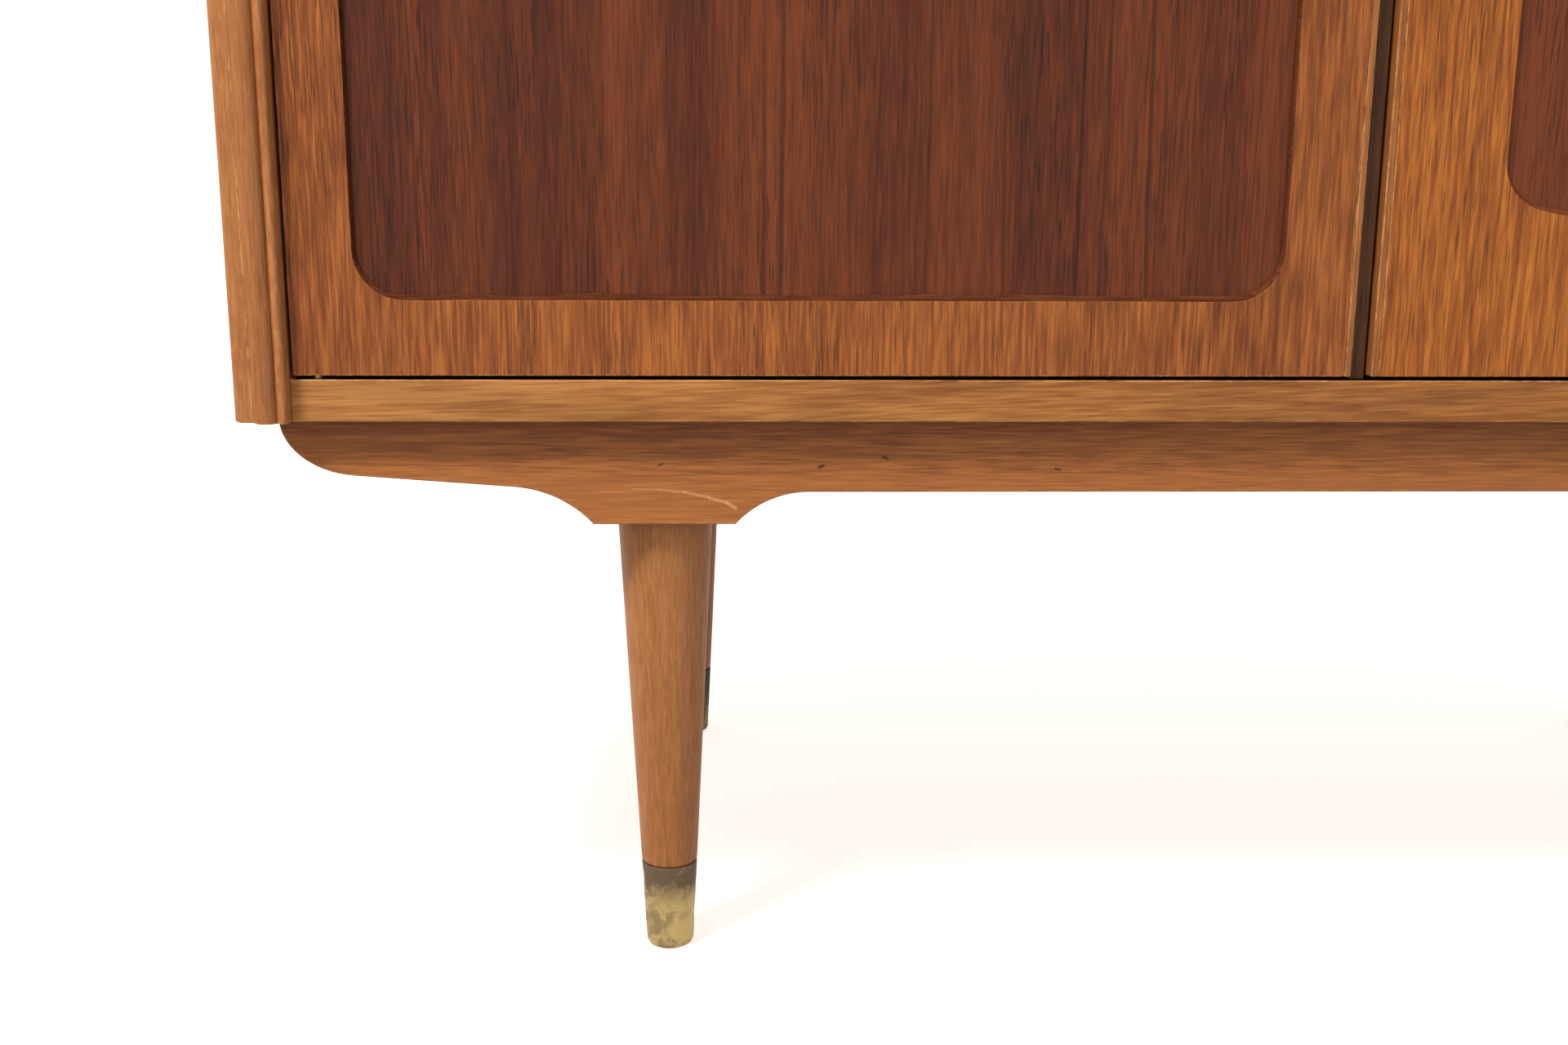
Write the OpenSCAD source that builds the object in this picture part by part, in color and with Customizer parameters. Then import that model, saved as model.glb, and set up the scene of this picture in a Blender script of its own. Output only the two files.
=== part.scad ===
// Console television cabinet with two doors, on a boat-shaped base with four turned legs.
// +Z is up, the doors face -Y, and the origin is on the floor under the middle of the whole object.

/* [Case] */
// Width over the side mouldings
case_w = 1000; // [980:10:1100]
// Depth from the face of the mouldings to the back
case_d = 410; // [400:5:440]
// Height from the floor to the top
total_h = 880; // [870:10:940]
// Thickness of the main boards
board = 19; // [18:1:20]
// Thickness of the back panels
back_t = 4; // [3:1:5]
// Width of a side moulding seen from the front
moulding_w = 25; // [25:1:28]
// Depth of a side moulding
moulding_d = 26; // [24:1:28]
// How far the mouldings stand in front of the doors
moulding_proud = 8.5; // [6:0.5:9]

/* [Doors] */
// Thickness of a door
door_t = 20; // [18:1:20]
// Gap between the two doors
door_gap = 9; // [9:1:12]
// Gap beside, above and below a door
door_clear = 1.5; // [1.5:0.5:2]
// Margin above, below and on the meeting side of the left door's inset panel
frame_margin = 33; // [28:0.5:40]
// Margin on the hinge side of the left door's inset panel
frame_margin_hinge = 28.5; // [26:0.5:36]
// Margin beside the inset panel of the right door
screen_margin_x = 52; // [45:1:60]
// Margin above and below the inset panel of the right door, at its middle
screen_margin_z = 55; // [50:1:65]
// Radius of the bowed ends of the right inset panel
bow_r = 760; // [700:20:1000]
// Corner radius of both inset panels
inset_r = 22; // [16:1:26]
// How deep the inset panels lie below the face of a door
inset_depth = 3; // [2:0.5:4]
// Thickness of the inset panels
inset_t = 3; // [2:0.5:4]
// How far the pulls stand out from the doors
pull_l = 22; // [18:1:26]

/* [Base] */
// Height of the legs with their ferrules
leg_h = 221; // [180:1:260]
// Radius at the top of a leg
leg_top_r = 22.5; // [21:0.5:25]
// Radius of a leg at the floor
leg_foot_r = 11.5; // [9:0.5:13]
// Height of a ferrule
ferrule_h = 44.5; // [30:0.5:60]
// Distance from the side of the case to the axis of a leg
leg_in_x = 187.5; // [175:0.5:220]
// Distance from the front or the back of the case to the axis of a leg
leg_in_y = 48; // [46:1:60]
// Height of a base rail over a leg
rail_h = 49; // [48:1:70]
// Height of a base rail between the legs
rail_mid_h = 34; // [30:1:38]
// Thickness of a base rail
rail_t = 18; // [16:1:18]
// How far a base rail is set back under the case
rail_back = 19; // [14:1:20]

/* [Television] */
// Width of the picture tube's face
tube_w = 400; // [360:5:410]
// Height of the picture tube's face
tube_h = 320; // [280:5:330]
// Radius of the loudspeaker's cone
cone_r = 68; // [50:1:70]
// Radius of a control knob
knob_r = 15; // [10:1:18]

/* [Hidden] */
$fn = 64;
eps = 0.01;
over = 1;

// Colours
light_teak = [0.65, 0.39, 0.20];
orange_teak = [0.69, 0.41, 0.18];
dark_teak = [0.42, 0.20, 0.13];
solid_teak = [0.61, 0.40, 0.24];
hardboard = [0.45, 0.32, 0.20];
aged_brass = [0.55, 0.47, 0.32];

// Planes of the case
depth = case_d + pull_l - moulding_proud;
front_y = depth / 2 - case_d;
back_y = depth / 2;
board_back_y = back_y - back_t;
face_y = front_y + moulding_proud;
door_back_y = face_y + door_t;
partition_gap = 3;
side_x = case_w / 2;
inner_x = side_x - board;
opening_x = side_x - moulding_w;
case_z = leg_h + rail_h;
floor_z = case_z + board;
ceiling_z = total_h - board;
mid_z = (case_z + total_h) / 2;
front_rail_d = moulding_d - moulding_proud;

// Partition and the strip that shows between the doors
partition_y = door_back_y + partition_gap;
strip_back = 5;
strip_left_gap = 0.8;
strip_right_gap = 1.5;

// Doors
door_w = opening_x - door_clear - door_gap / 2;
door_h = ceiling_z - floor_z - 2 * door_clear;
door_x = (opening_x - door_clear + door_gap / 2) / 2;
door_z = floor_z + door_clear;
lipping_t = 3;

// Door pivots
pivot_in_x = 10;
pivot_in_y = 5;
pivot_x = opening_x - door_clear - pivot_in_x;
pivot_y = face_y + pivot_in_y;
pin_r = 2;
pin_clear = 0.05;
pin_grip = 8;
bush_r = 3.5;
bush_h = 10;
plate_l = 40;
plate_w = 8;
plate_t = 2;

// Pulls and catches
pull_in_x = 16;
pull_x = door_gap / 2 + pull_in_x;
pull_z = 600;
pull_r = 9;
pull_neck_r = 4.5;
pull_base_r = 7;
pull_base_h = 2;
pull_neck_y = 4;
pull_ball_a = -30;
stud_r = 2.5;
fit_clear = 0.05;
catch_w = 14;
catch_d = 12;
catch_h = 40;
catch_gap = 0.4;
strike_t = 1.2;
strike_gap = 1;
strike_below = 2;

// Shelf and its pins
shelf_t = 16;
shelf_z = mid_z - shelf_t / 2;
shelf_clear = 1;
shelf_in_y = 45;
shelf_front_y = front_y + shelf_in_y;
peg_r = 2.5;
peg_in = 10;
peg_out = 8;
peg_gap = 1;
peg_in_partition = 7;
peg_rows = [-128, -64, 0, 64, 128];
peg_inset = 45;
peg_y = [shelf_front_y + peg_inset, board_back_y - peg_inset];

// Screws of the back panels
screw_r = 1.5;
screw_head_r = 3.2;
screw_head_h = 2;
screw_l = 18;
cover_in = 6;
cover_gap = 0.5;
cover_x = side_x - cover_in;
cover_low_z = case_z + cover_in;
cover_top_z = total_h - cover_in;
screw_pitch = 240;
screw_rows = [mid_z - screw_pitch, mid_z, mid_z + screw_pitch];
screw_side_x = side_x - board / 2;
screw_mid_x = 5;

// Base
leg_x = side_x - leg_in_x;
leg_y = [front_y + leg_in_y, back_y - leg_in_y];
pad_l = 65;
pad_shift = 1;
pad_x = leg_x - pad_shift;
block_d = 36;
tenon_r = 8;
tenon_h = 30;
bow_start = 16;
bow_w = 36;
bow_h = 26.5;
bow_end_a = 84;
cove_rise = 17.4;
cove_a0 = 4;
cove_a1 = 48;
arch_a = 48;
outline_steps = 14;
arc_steps = 10;
bow_steps = 24;
ferrule_wall = 1;
ferrule_floor = 2;
ferrule_chamfer = 2;
cross_t = 24;
base_screw_y = 90;
base_screw_r = 2;
base_head_r = 4.5;
base_head_h = 3;
base_bore_r = 5;
base_bore_h = 15;
base_grip = 12;

// Screen and its mask
bay_x = (board / 2 + inner_x) / 2;
screen_under = 24;
screen_z = ceiling_z - tube_h / 2 - screen_under;
baffle_in_y = 50;
baffle_y = front_y + baffle_in_y;
baffle_t = 12;
baffle_back_y = baffle_y + baffle_t;
screen_lap = 8;
screen_open_w = tube_w - 2 * screen_lap;
screen_open_h = tube_h - 2 * screen_lap;
mask_rim = 15;
mask_t = 10;
mask_lip = 14;
glass_t = 4;
mask_r = 46;
tube_corner_r = 50;
tube_rim_d = 30;
tube_gap = 0.5;
funnel_l = 190;
funnel_back_y = baffle_back_y + funnel_l;
funnel_r = 24;
neck_r = 18;
neck_l = 95;
tube_base_r = 15;
tube_base_l = 15;
strap_t = 3;
strap_w = 18;
strap_in = 6;
ear_w = 24;
ear_x = 12;
ear_z = 90;
coil_y = funnel_back_y + over;
coil_r = 46;
coil_neck_r = 34;
coil_l = 46;

// Loudspeaker and controls
speaker_at = [-95, 112];
speaker_x = bay_x + speaker_at[0];
speaker_z = floor_z + speaker_at[1];
flange_w = 14;
flange_r = cone_r + flange_w;
flange_t = 2;
basket_d = 48;
basket_r = 36;
magnet_r = 34;
magnet_d = 30;
cone_d = 34;
voice_r = 14;
paper_t = 0.8;
paper_in = 1;
paper_rim = 1;
surround_w = 4;
dome_h = 6;
voice_h = 2;
voice_gap = 4;
basket_gap = 3;
cloth_t = 1.5;
cloth_w = 184;
control_in = [50, 105, 165];
control_x = [for (x = control_in) bay_x + x];
control_z = speaker_z;
spindle_r = 3;
spindle_hole_r = 5;
pot_r = 13;
pot_d = 20;
knob_l = 17;
knob_gap = 2;
skirt_h = 4;
grip_r = 1;
grip_count = 18;
spindle_in = 15;

// Chassis
tray_w = 400;
tray_d = 190;
tray_h = 50;
tray_wall = 1.5;
tray_gap = 24;
tray_x0 = bay_x - tray_w / 2;
tray_y0 = board_back_y - tray_d - tray_gap;
valve_r = 11;
valve_h = 60;
pin_ring_r = 9;
pin_l = 8;
tip_r = 2;
tip_h = 4;
valve_pitch = 48;
valve_count = 6;
valve_in = [36, 60];
valve_x0 = tray_x0 + valve_in[0];
valve_y = tray_y0 + valve_in[1];
tuner_w = 80;
tuner_d = 90;
tuner_h = 60;
transformer = [86, 70, 74];
transformer_in = [12, 20];
core_t = 24;

// Rear fittings
vent_w = 92;
vent_h = 5;
vent_pitch_x = 120;
vent_pitch_z = 20;
vent_columns = [-1, 0, 1];
vent_rows = 12;
vent_up = 20;
vent_low_z = mid_z + vent_up;
inlet_at = [-150, 30];
inlet_x = bay_x + inlet_at[0];
inlet_z = floor_z + inlet_at[1];
inlet_w = 36;
inlet_h = 24;
inlet_d = 22;
inlet_wall = 3;
inlet_pin_r = 2;
inlet_pin_pitch = 19;
aerial_in = 120;
aerial_x = bay_x + aerial_in;
aerial_w = 46;
aerial_h = 26;
aerial_t = 3;
aerial_hole_r = 2;
aerial_pitch = 12;
socket_rim = 4;

// Points along a circle, from one angle to another
function arc(cx, cy, r, a0, a1, n) = [for (i = [0:n]) let (a = a0 + (a1 - a0) * i / n)
  [cx + r * cos(a), cy + r * sin(a)]];
function mirrored(points) = [for (i = [len(points) - 1:-1:0]) [-points[i][0], points[i][1]]];

// Left half of a base rail's outline, measured from the side of the case
arch_r = (rail_h - rail_mid_h) / (1 - cos(arch_a));
cove_r = cove_rise / (cos(cove_a0) - cos(cove_a1));
cove_x = leg_in_x + pad_shift - pad_l / 2 - cove_r * (sin(cove_a1) - sin(cove_a0));
pad_end = leg_in_x + pad_shift + pad_l / 2;
function rail_half() = concat(
  [for (i = [0:outline_steps]) let (a = bow_end_a * i / outline_steps)
    [bow_start + bow_w * (1 - cos(a)), case_z - bow_h * sin(a)]],
  [for (i = [0:outline_steps]) let (a = cove_a0 + (cove_a1 - cove_a0) * i / outline_steps)
    [cove_x + cove_r * (sin(a) - sin(cove_a0)), leg_h + cove_rise - cove_r * (cos(cove_a0) - cos(a))]],
  [for (i = [0:outline_steps]) let (a = arch_a * (1 - i / outline_steps))
    [pad_end + arch_r * (sin(arch_a) - sin(a)), case_z - rail_mid_h - arch_r * (1 - cos(a))]]
);
function shifted(points, dx) = [for (p = points) [p[0] + dx, p[1]]];

// Plan of a side moulding: outer band, ridge, main band, groove and bead
corner_r = 5;
corner_y = 5.2;
band_w = 9;
band_y = 4.4;
main_r = 6;
main_x = 15.2;
main_a = [194.8, 328.2];
bead_r = 2.1;
bead_y = 2.6;
function moulding_plan() = concat(
  [[0, moulding_d]],
  arc(corner_r, corner_y + corner_r, corner_r, 180, 270, arc_steps),
  [[band_w, band_y]],
  arc(main_x, main_r, main_r, main_a[0], main_a[1], arc_steps),
  arc(moulding_w - bead_r, bead_y, bead_r, 180, 360, arc_steps),
  [[moulding_w, moulding_d]]
);

// Outline of the right inset panel: straight sides and bowed ends, about its own centre
screen_half_w = door_w / 2 - screen_margin_x;
screen_half_h = door_h / 2 - screen_margin_z;
corner_x = screen_half_w - inset_r;
corner_drop = sqrt(pow(bow_r - inset_r, 2) - pow(corner_x, 2));
corner_z = corner_drop - (bow_r - screen_half_h);
corner_a = asin(corner_x / (bow_r - inset_r));
function screen_quarter() = concat(
  arc(corner_x, -corner_z, inset_r, 0, -90 + corner_a, arc_steps),
  arc(0, bow_r - screen_half_h, bow_r, -90 + corner_a, -90 - corner_a, bow_steps),
  arc(-corner_x, -corner_z, inset_r, -90 - corner_a, -180, arc_steps)
);
function screen_outline() = concat(
  screen_quarter(),
  [for (p = screen_quarter()) [-p[0], -p[1]]]
);

module box(low, high) {
  translate(low)
    cube(high - low);
}

module rod_y(x, z, r, y0, y1) {
  translate([x, y0, z])
    rotate([-90, 0, 0])
      cylinder(r = r, h = y1 - y0);
}

module rod_x(x0, x1, y, z, r) {
  translate([x0, y, z])
    rotate([0, 90, 0])
      cylinder(r = r, h = x1 - x0);
}

// Extrudes a front view backwards from y0 to y1
module front_view(y0, y1) {
  translate([0, y1, 0])
    rotate([90, 0, 0])
      linear_extrude(y1 - y0)
        children();
}

// A turned solid whose axis runs along -Y from the point at
module turned_y(at) {
  translate(at)
    rotate([90, 0, 0])
      rotate_extrude()
        children();
}

module rounded_rect(w, h, r) {
  square([w - 2 * r, h], center = true);
  square([w, h - 2 * r], center = true);
  for (sx = [-1, 1])
    for (sz = [-1, 1])
      translate([sx * (w / 2 - r), sz * (h / 2 - r)])
        circle(r);
}

module flip(on) {
  mirror([on ? 1 : 0, 0, 0])
    children();
}

// Case

module peg_holes(x0, x1) {
  for (row = peg_rows)
    for (y = peg_y)
      rod_x(x0, x1, y, shelf_z - peg_r + row, peg_r + fit_clear);
}

module back_screw_holes() {
  back_screw_places()
    rod_y(0, 0, screw_r + fit_clear, back_y - screw_l - over, board_back_y + eps);
}

module back_screw_places() {
  for (side = [-1, 1]) {
    for (z = screw_rows)
      for (x = [screw_mid_x, screw_side_x])
        translate([side * x, 0, z])
          children();
    for (z = [case_z + board / 2, total_h - board / 2])
      translate([side * side_x / 2, 0, z])
        children();
  }
}

module side_board(right) {
  difference() {
    flip(right)
      box([-side_x, front_y + moulding_d, case_z], [-inner_x, board_back_y, total_h]);
    back_screw_holes();
    if (!right)
      peg_holes(-inner_x - peg_in, -inner_x + eps);
  }
}

module side_moulding(right) {
  flip(right)
    translate([-side_x, front_y, case_z])
      linear_extrude(total_h - case_z)
        polygon(moulding_plan());
}

module level_board(z) {
  difference() {
    box([-inner_x, face_y + front_rail_d, z], [inner_x, board_back_y, z + board]);
    back_screw_holes();
    base_screw_places()
      cylinder(r = base_screw_r + fit_clear, h = case_z + base_grip + over);
  }
}

module front_rail(z) {
  difference() {
    box([-opening_x, face_y, z], [opening_x, face_y + front_rail_d, z + board]);
    hinge_plate_bodies(fit_clear);
  }
}

module left_side_panel() {
  color(light_teak)
    side_board(false);
}

module right_side_panel() {
  color(light_teak)
    side_board(true);
}

module left_side_moulding() {
  color(solid_teak)
    side_moulding(false);
}

module right_side_moulding() {
  color(solid_teak)
    side_moulding(true);
}

module top_panel() {
  color(light_teak)
    level_board(ceiling_z);
}

module bottom_panel() {
  color(light_teak)
    level_board(case_z);
}

module top_front_rail() {
  color(solid_teak)
    front_rail(ceiling_z);
}

module bottom_front_rail() {
  color(solid_teak)
    front_rail(case_z);
}

module centre_partition() {
  color(light_teak)
    difference() {
      box([-board / 2, partition_y, floor_z], [board / 2, board_back_y, ceiling_z]);
      back_screw_holes();
      peg_holes(-board / 2 - eps, -board / 2 + peg_in_partition);
    }
}

module meeting_strip() {
  color(dark_teak)
    box([-door_gap / 2 + strip_left_gap, face_y + strip_back, floor_z],
      [door_gap / 2 - strip_right_gap, partition_y, ceiling_z]);
}

module back_board(right) {
  difference() {
    flip(right)
      box([-cover_x, board_back_y, cover_low_z], [-cover_gap, back_y, cover_top_z]);
    back_screw_places() {
      rod_y(0, 0, screw_r + fit_clear, board_back_y - eps, back_y);
      screw_head(fit_clear);
    }
  }
}

// Countersunk head whose flat end lies in the outer face of the back panels
module screw_head(extra) {
  translate([0, back_y, 0])
    rotate([90, 0, 0])
      cylinder(r1 = screw_head_r + extra, r2 = screw_r + extra, h = screw_head_h);
}

module left_back_panel() {
  color(hardboard)
    back_board(false);
}

module rear_cover() {
  color(hardboard)
    difference() {
      back_board(true);
      for (column = vent_columns)
        for (row = [0:vent_rows - 1])
          translate([bay_x + column * vent_pitch_x, back_y - back_t / 2,
            vent_low_z + row * vent_pitch_z])
            cube([vent_w, 2 * back_t, vent_h], center = true);
      box([inlet_x - inlet_w / 2, board_back_y - eps, inlet_z - inlet_h / 2],
        [inlet_x + inlet_w / 2, back_y + eps, inlet_z + inlet_h / 2]);
      box([aerial_x - aerial_w / 2 + socket_rim, board_back_y - eps, inlet_z - aerial_h / 2 + socket_rim],
        [aerial_x + aerial_w / 2 - socket_rim, back_y + eps, inlet_z + aerial_h / 2 - socket_rim]);
    }
}

module back_screws() {
  color("dimgray")
    back_screw_places() {
      rod_y(0, 0, screw_r, back_y - screw_l, back_y);
      screw_head(0);
    }
}

// Base

module base_rail(y0) {
  half = shifted(rail_half(), -side_x);
  front_view(y0, y0 + rail_t)
    polygon(concat(half, mirrored(half)));
}

module front_base_rail() {
  color(solid_teak)
    base_rail(front_y + rail_back);
}

module rear_base_rail() {
  color(solid_teak)
    base_rail(back_y - rail_back - rail_t);
}

module base_screw_places() {
  for (sx = [-1, 1])
    for (sy = [-1, 1])
      translate([sx * leg_x, (front_y + back_y) / 2 + sy * base_screw_y, 0])
        children();
}

rail_inner_y = rail_back + rail_t;
module cross_rails() {
  color(solid_teak)
    difference() {
      for (sx = [-1, 1])
        translate([sx * leg_x, 0, 0])
          box([-cross_t / 2, front_y + rail_inner_y + block_d, case_z - rail_mid_h],
            [cross_t / 2, back_y - rail_inner_y - block_d, case_z]);
      base_screw_places() {
        cylinder(r = base_screw_r + fit_clear, h = total_h);
        cylinder(r = base_bore_r, h = case_z - rail_mid_h + base_bore_h);
      }
    }
}

module leg_blocks() {
  color(solid_teak)
    for (sx = [-1, 1])
      for (y = [front_y + rail_inner_y, back_y - rail_inner_y - block_d])
        difference() {
          translate([sx * pad_x, 0, 0])
            box([-pad_l / 2, y, leg_h], [pad_l / 2, y + block_d, case_z]);
          for (axis_y = leg_y)
            translate([sx * leg_x, axis_y, leg_h - eps])
              cylinder(r = tenon_r + fit_clear, h = tenon_h + over);
        }
}

module base_screws() {
  color("dimgray")
    base_screw_places()
      translate([0, 0, case_z - rail_mid_h + base_bore_h]) {
        translate([0, 0, -base_head_h])
          cylinder(r = base_head_r, h = base_head_h);
        cylinder(r = base_screw_r, h = rail_mid_h - base_bore_h + base_grip);
      }
}

function leg_r(z) = leg_foot_r + (leg_top_r - leg_foot_r) * z / leg_h;

module leg(x, y) {
  color(solid_teak)
    translate([x, y, 0]) {
      translate([0, 0, ferrule_h])
        cylinder(r1 = leg_r(ferrule_h), r2 = leg_top_r, h = leg_h - ferrule_h);
      translate([0, 0, ferrule_floor])
        cylinder(r1 = leg_r(ferrule_floor) - ferrule_wall, r2 = leg_r(ferrule_h) - ferrule_wall,
          h = ferrule_h - ferrule_floor);
      translate([0, 0, leg_h])
        cylinder(r = tenon_r, h = tenon_h);
    }
}

module ferrule(x, y) {
  color(aged_brass)
    translate([x, y, 0])
      rotate_extrude()
        polygon([
          [0, 0],
          [leg_foot_r - ferrule_chamfer, 0],
          [leg_r(ferrule_chamfer), ferrule_chamfer],
          [leg_r(ferrule_h), ferrule_h],
          [leg_r(ferrule_h) - ferrule_wall, ferrule_h],
          [leg_r(ferrule_floor) - ferrule_wall, ferrule_floor],
          [0, ferrule_floor]
        ]);
}

// Shelf, catches and pivots

module shelf() {
  color(light_teak)
    box([-inner_x + shelf_clear, shelf_front_y, shelf_z],
      [-board / 2 - shelf_clear, board_back_y - shelf_clear, shelf_z + shelf_t]);
}

module shelf_pins() {
  color(aged_brass)
    for (y = peg_y) {
      rod_x(-inner_x - peg_in + peg_gap, -inner_x + peg_out, y, shelf_z - peg_r, peg_r);
      rod_x(-board / 2 - peg_out, -board / 2 + peg_in_partition - peg_gap, y, shelf_z - peg_r, peg_r);
    }
}

module door_catches() {
  color("gainsboro")
    for (right = [false, true])
      flip(right)
        box([-board / 2 - catch_w, door_back_y + strike_t + catch_gap, pull_z - catch_h / 2],
          [-board / 2, door_back_y + strike_t + catch_gap + catch_d, pull_z + catch_h / 2]);
}

// Places its child at both pivots of both doors, drawn for the lower left one
module at_pivots() {
  for (right = [false, true])
    flip(right)
      for (top = [0, 1])
        translate([-pivot_x, pivot_y, mid_z])
          mirror([0, 0, top])
            translate([0, 0, -mid_z])
              children();
}

module hinge_plate_bodies(extra) {
  at_pivots()
    box([-pivot_in_x - extra, -plate_w / 2 - extra, floor_z - plate_t - extra],
      [plate_l - pivot_in_x + extra, plate_w / 2 + extra, floor_z + extra]);
}

module hinge_plates() {
  color(aged_brass) {
    hinge_plate_bodies(0);
    at_pivots()
      translate([0, 0, floor_z - eps])
        cylinder(r = pin_r, h = door_clear + pin_grip + eps);
  }
}

// Doors

module door_outline(right) {
  box([right ? door_gap / 2 + lipping_t : -opening_x + door_clear, face_y, door_z],
    [right ? opening_x - door_clear : -door_gap / 2 - lipping_t, door_back_y, door_z + door_h]);
}

module inset_outline(right) {
  margin_shift = (frame_margin - frame_margin_hinge) / 2;
  translate([right ? door_x : -door_x - margin_shift, door_z + door_h / 2])
    if (right)
      polygon(screen_outline());
    else
      rounded_rect(door_w - frame_margin - frame_margin_hinge, door_h - 2 * frame_margin, inset_r);
}

module door_panel(right) {
  difference() {
    door_outline(right);
    front_view(face_y - over, face_y + inset_depth + inset_t)
      inset_outline(right);
    at_pivots()
      translate([0, 0, door_z - eps])
        cylinder(r = bush_r + fit_clear, h = bush_h + over);
    for (side = [-1, 1])
      rod_y(side * pull_x, pull_z, stud_r + fit_clear, face_y - over, door_back_y + over);
  }
}

module door_inset(right) {
  front_view(face_y + inset_depth, face_y + inset_depth + inset_t)
    inset_outline(right);
}

module door_lipping(right) {
  flip(right)
    box([-door_gap / 2 - lipping_t, face_y, door_z], [-door_gap / 2, door_back_y, door_z + door_h]);
}

// Two pivot bushes and the strike plate of the catch
module door_fittings(right) {
  flip(right) {
    for (top = [0, 1])
      translate([-pivot_x, pivot_y, mid_z])
        mirror([0, 0, top])
          translate([0, 0, door_z - mid_z])
            difference() {
              cylinder(r = bush_r, h = bush_h);
              translate([0, 0, -over])
                cylinder(r = pin_r + pin_clear, h = bush_h + 2 * over);
            }
    box([-board / 2 - catch_w, door_back_y, pull_z - catch_h / 2],
      [-board / 2 - strike_gap, door_back_y + strike_t, pull_z - stud_r - strike_below]);
  }
}

module door_pull(right) {
  flip(right) {
    turned_y([-pull_x, face_y, pull_z])
      polygon(concat(
        [[0, 0], [pull_base_r, 0], [pull_base_r, pull_base_h], [pull_neck_r, pull_neck_y]],
        arc(0, pull_l - pull_r, pull_r, pull_ball_a, 90, arc_steps)
      ));
    rod_y(-pull_x, pull_z, stud_r, face_y - eps, door_back_y);
  }
}

module left_door_panel() {
  color(light_teak)
    door_panel(false);
}

module right_door_panel() {
  color(orange_teak)
    door_panel(true);
}

module left_door_inset() {
  color(dark_teak)
    door_inset(false);
}

module right_door_inset() {
  color(dark_teak)
    door_inset(true);
}

module left_door_lipping() {
  color(solid_teak)
    door_lipping(false);
}

module right_door_lipping() {
  color(solid_teak)
    door_lipping(true);
}

module left_door_fittings() {
  color(aged_brass)
    door_fittings(false);
}

module right_door_fittings() {
  color(aged_brass)
    door_fittings(true);
}

module left_door_pull() {
  color(aged_brass)
    door_pull(false);
}

module right_door_pull() {
  color(aged_brass)
    door_pull(true);
}

// Television

module at_screen() {
  translate([bay_x, screen_z])
    children();
}

module screen_baffle() {
  color(dark_teak)
    difference() {
      box([board / 2, baffle_y, floor_z], [inner_x, baffle_back_y, ceiling_z]);
      front_view(baffle_y - over, baffle_back_y + over)
        at_screen()
          rounded_rect(screen_open_w, screen_open_h, mask_r);
      rod_y(speaker_x, speaker_z, cone_r, baffle_y - over, baffle_back_y + over);
      for (x = control_x)
        rod_y(x, control_z, spindle_hole_r, baffle_y - over, baffle_back_y + over);
    }
}

module screen_mask() {
  color("wheat")
    difference() {
      front_view(baffle_y - mask_t, baffle_y)
        at_screen()
          rounded_rect(tube_w + 2 * mask_rim, tube_h + 2 * mask_rim, mask_r + mask_rim);
      front_view(baffle_y - mask_t - over, baffle_y + over)
        at_screen()
          rounded_rect(tube_w - 2 * mask_lip, tube_h - 2 * mask_lip, mask_r - mask_lip / 2);
      front_view(baffle_y - glass_t, baffle_y + over)
        at_screen()
          rounded_rect(tube_w, tube_h, mask_r);
    }
}

module safety_glass() {
  color("lightblue", 0.4)
    front_view(baffle_y - glass_t, baffle_y)
      at_screen()
        rounded_rect(tube_w - fit_clear, tube_h - fit_clear, mask_r);
}

tube_y = baffle_back_y + tube_gap;
neck_back_y = funnel_back_y + neck_l;
module picture_tube() {
  color("darkseagreen")
    union() {
      hull() {
        front_view(tube_y, tube_y + tube_rim_d)
          at_screen()
            rounded_rect(tube_w, tube_h, tube_corner_r, $fn = 32);
        rod_y(bay_x, screen_z, funnel_r, funnel_back_y - over, funnel_back_y, $fn = 32);
      }
      rod_y(bay_x, screen_z, neck_r, funnel_back_y - over, neck_back_y);
      rod_y(bay_x, screen_z, tube_base_r, neck_back_y - over, neck_back_y + tube_base_l);
    }
}

module tube_strap() {
  color("silver") {
    difference() {
      front_view(tube_y + strap_in, tube_y + strap_in + strap_w)
        at_screen()
          rounded_rect(tube_w + 2 * strap_t, tube_h + 2 * strap_t, tube_corner_r + strap_t);
      front_view(tube_y, tube_y + tube_rim_d + over)
        at_screen()
          rounded_rect(tube_w + tube_gap, tube_h + tube_gap, tube_corner_r);
    }
    for (sx = [-1, 1])
      for (sz = [-1, 1])
        translate([bay_x + sx * (tube_w / 2 + strap_t + ear_x / 2 - over), 0, screen_z + sz * ear_z])
          box([-ear_x / 2, baffle_back_y, -ear_w / 2],
            [ear_x / 2, tube_y + strap_in + strap_w, ear_w / 2]);
  }
}

module deflection_coil() {
  color("sienna")
    difference() {
      union() {
        rod_y(bay_x, screen_z, coil_r, coil_y, coil_y + coil_l / 2);
        rod_y(bay_x, screen_z, coil_neck_r, coil_y, coil_y + coil_l);
      }
      rod_y(bay_x, screen_z, neck_r + tube_gap, coil_y - over, coil_y + coil_l + over);
    }
}

// A turned loudspeaker part: its outline is given as [radius, distance behind the baffle]
module turned_speaker(points) {
  translate([speaker_x, baffle_back_y, speaker_z])
    rotate([-90, 0, 0])
      rotate_extrude()
        polygon(points);
}

module loudspeaker_frame() {
  color("slategray")
    turned_speaker([
      [cone_r + basket_gap, 0],
      [flange_r, 0],
      [flange_r, flange_t],
      [cone_r + basket_gap + over + flange_t, flange_t],
      [basket_r + flange_t, basket_d],
      [voice_r + voice_gap, basket_d],
      [voice_r + voice_gap, basket_d - flange_t],
      [basket_r, basket_d - flange_t]
    ]);
}

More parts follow.
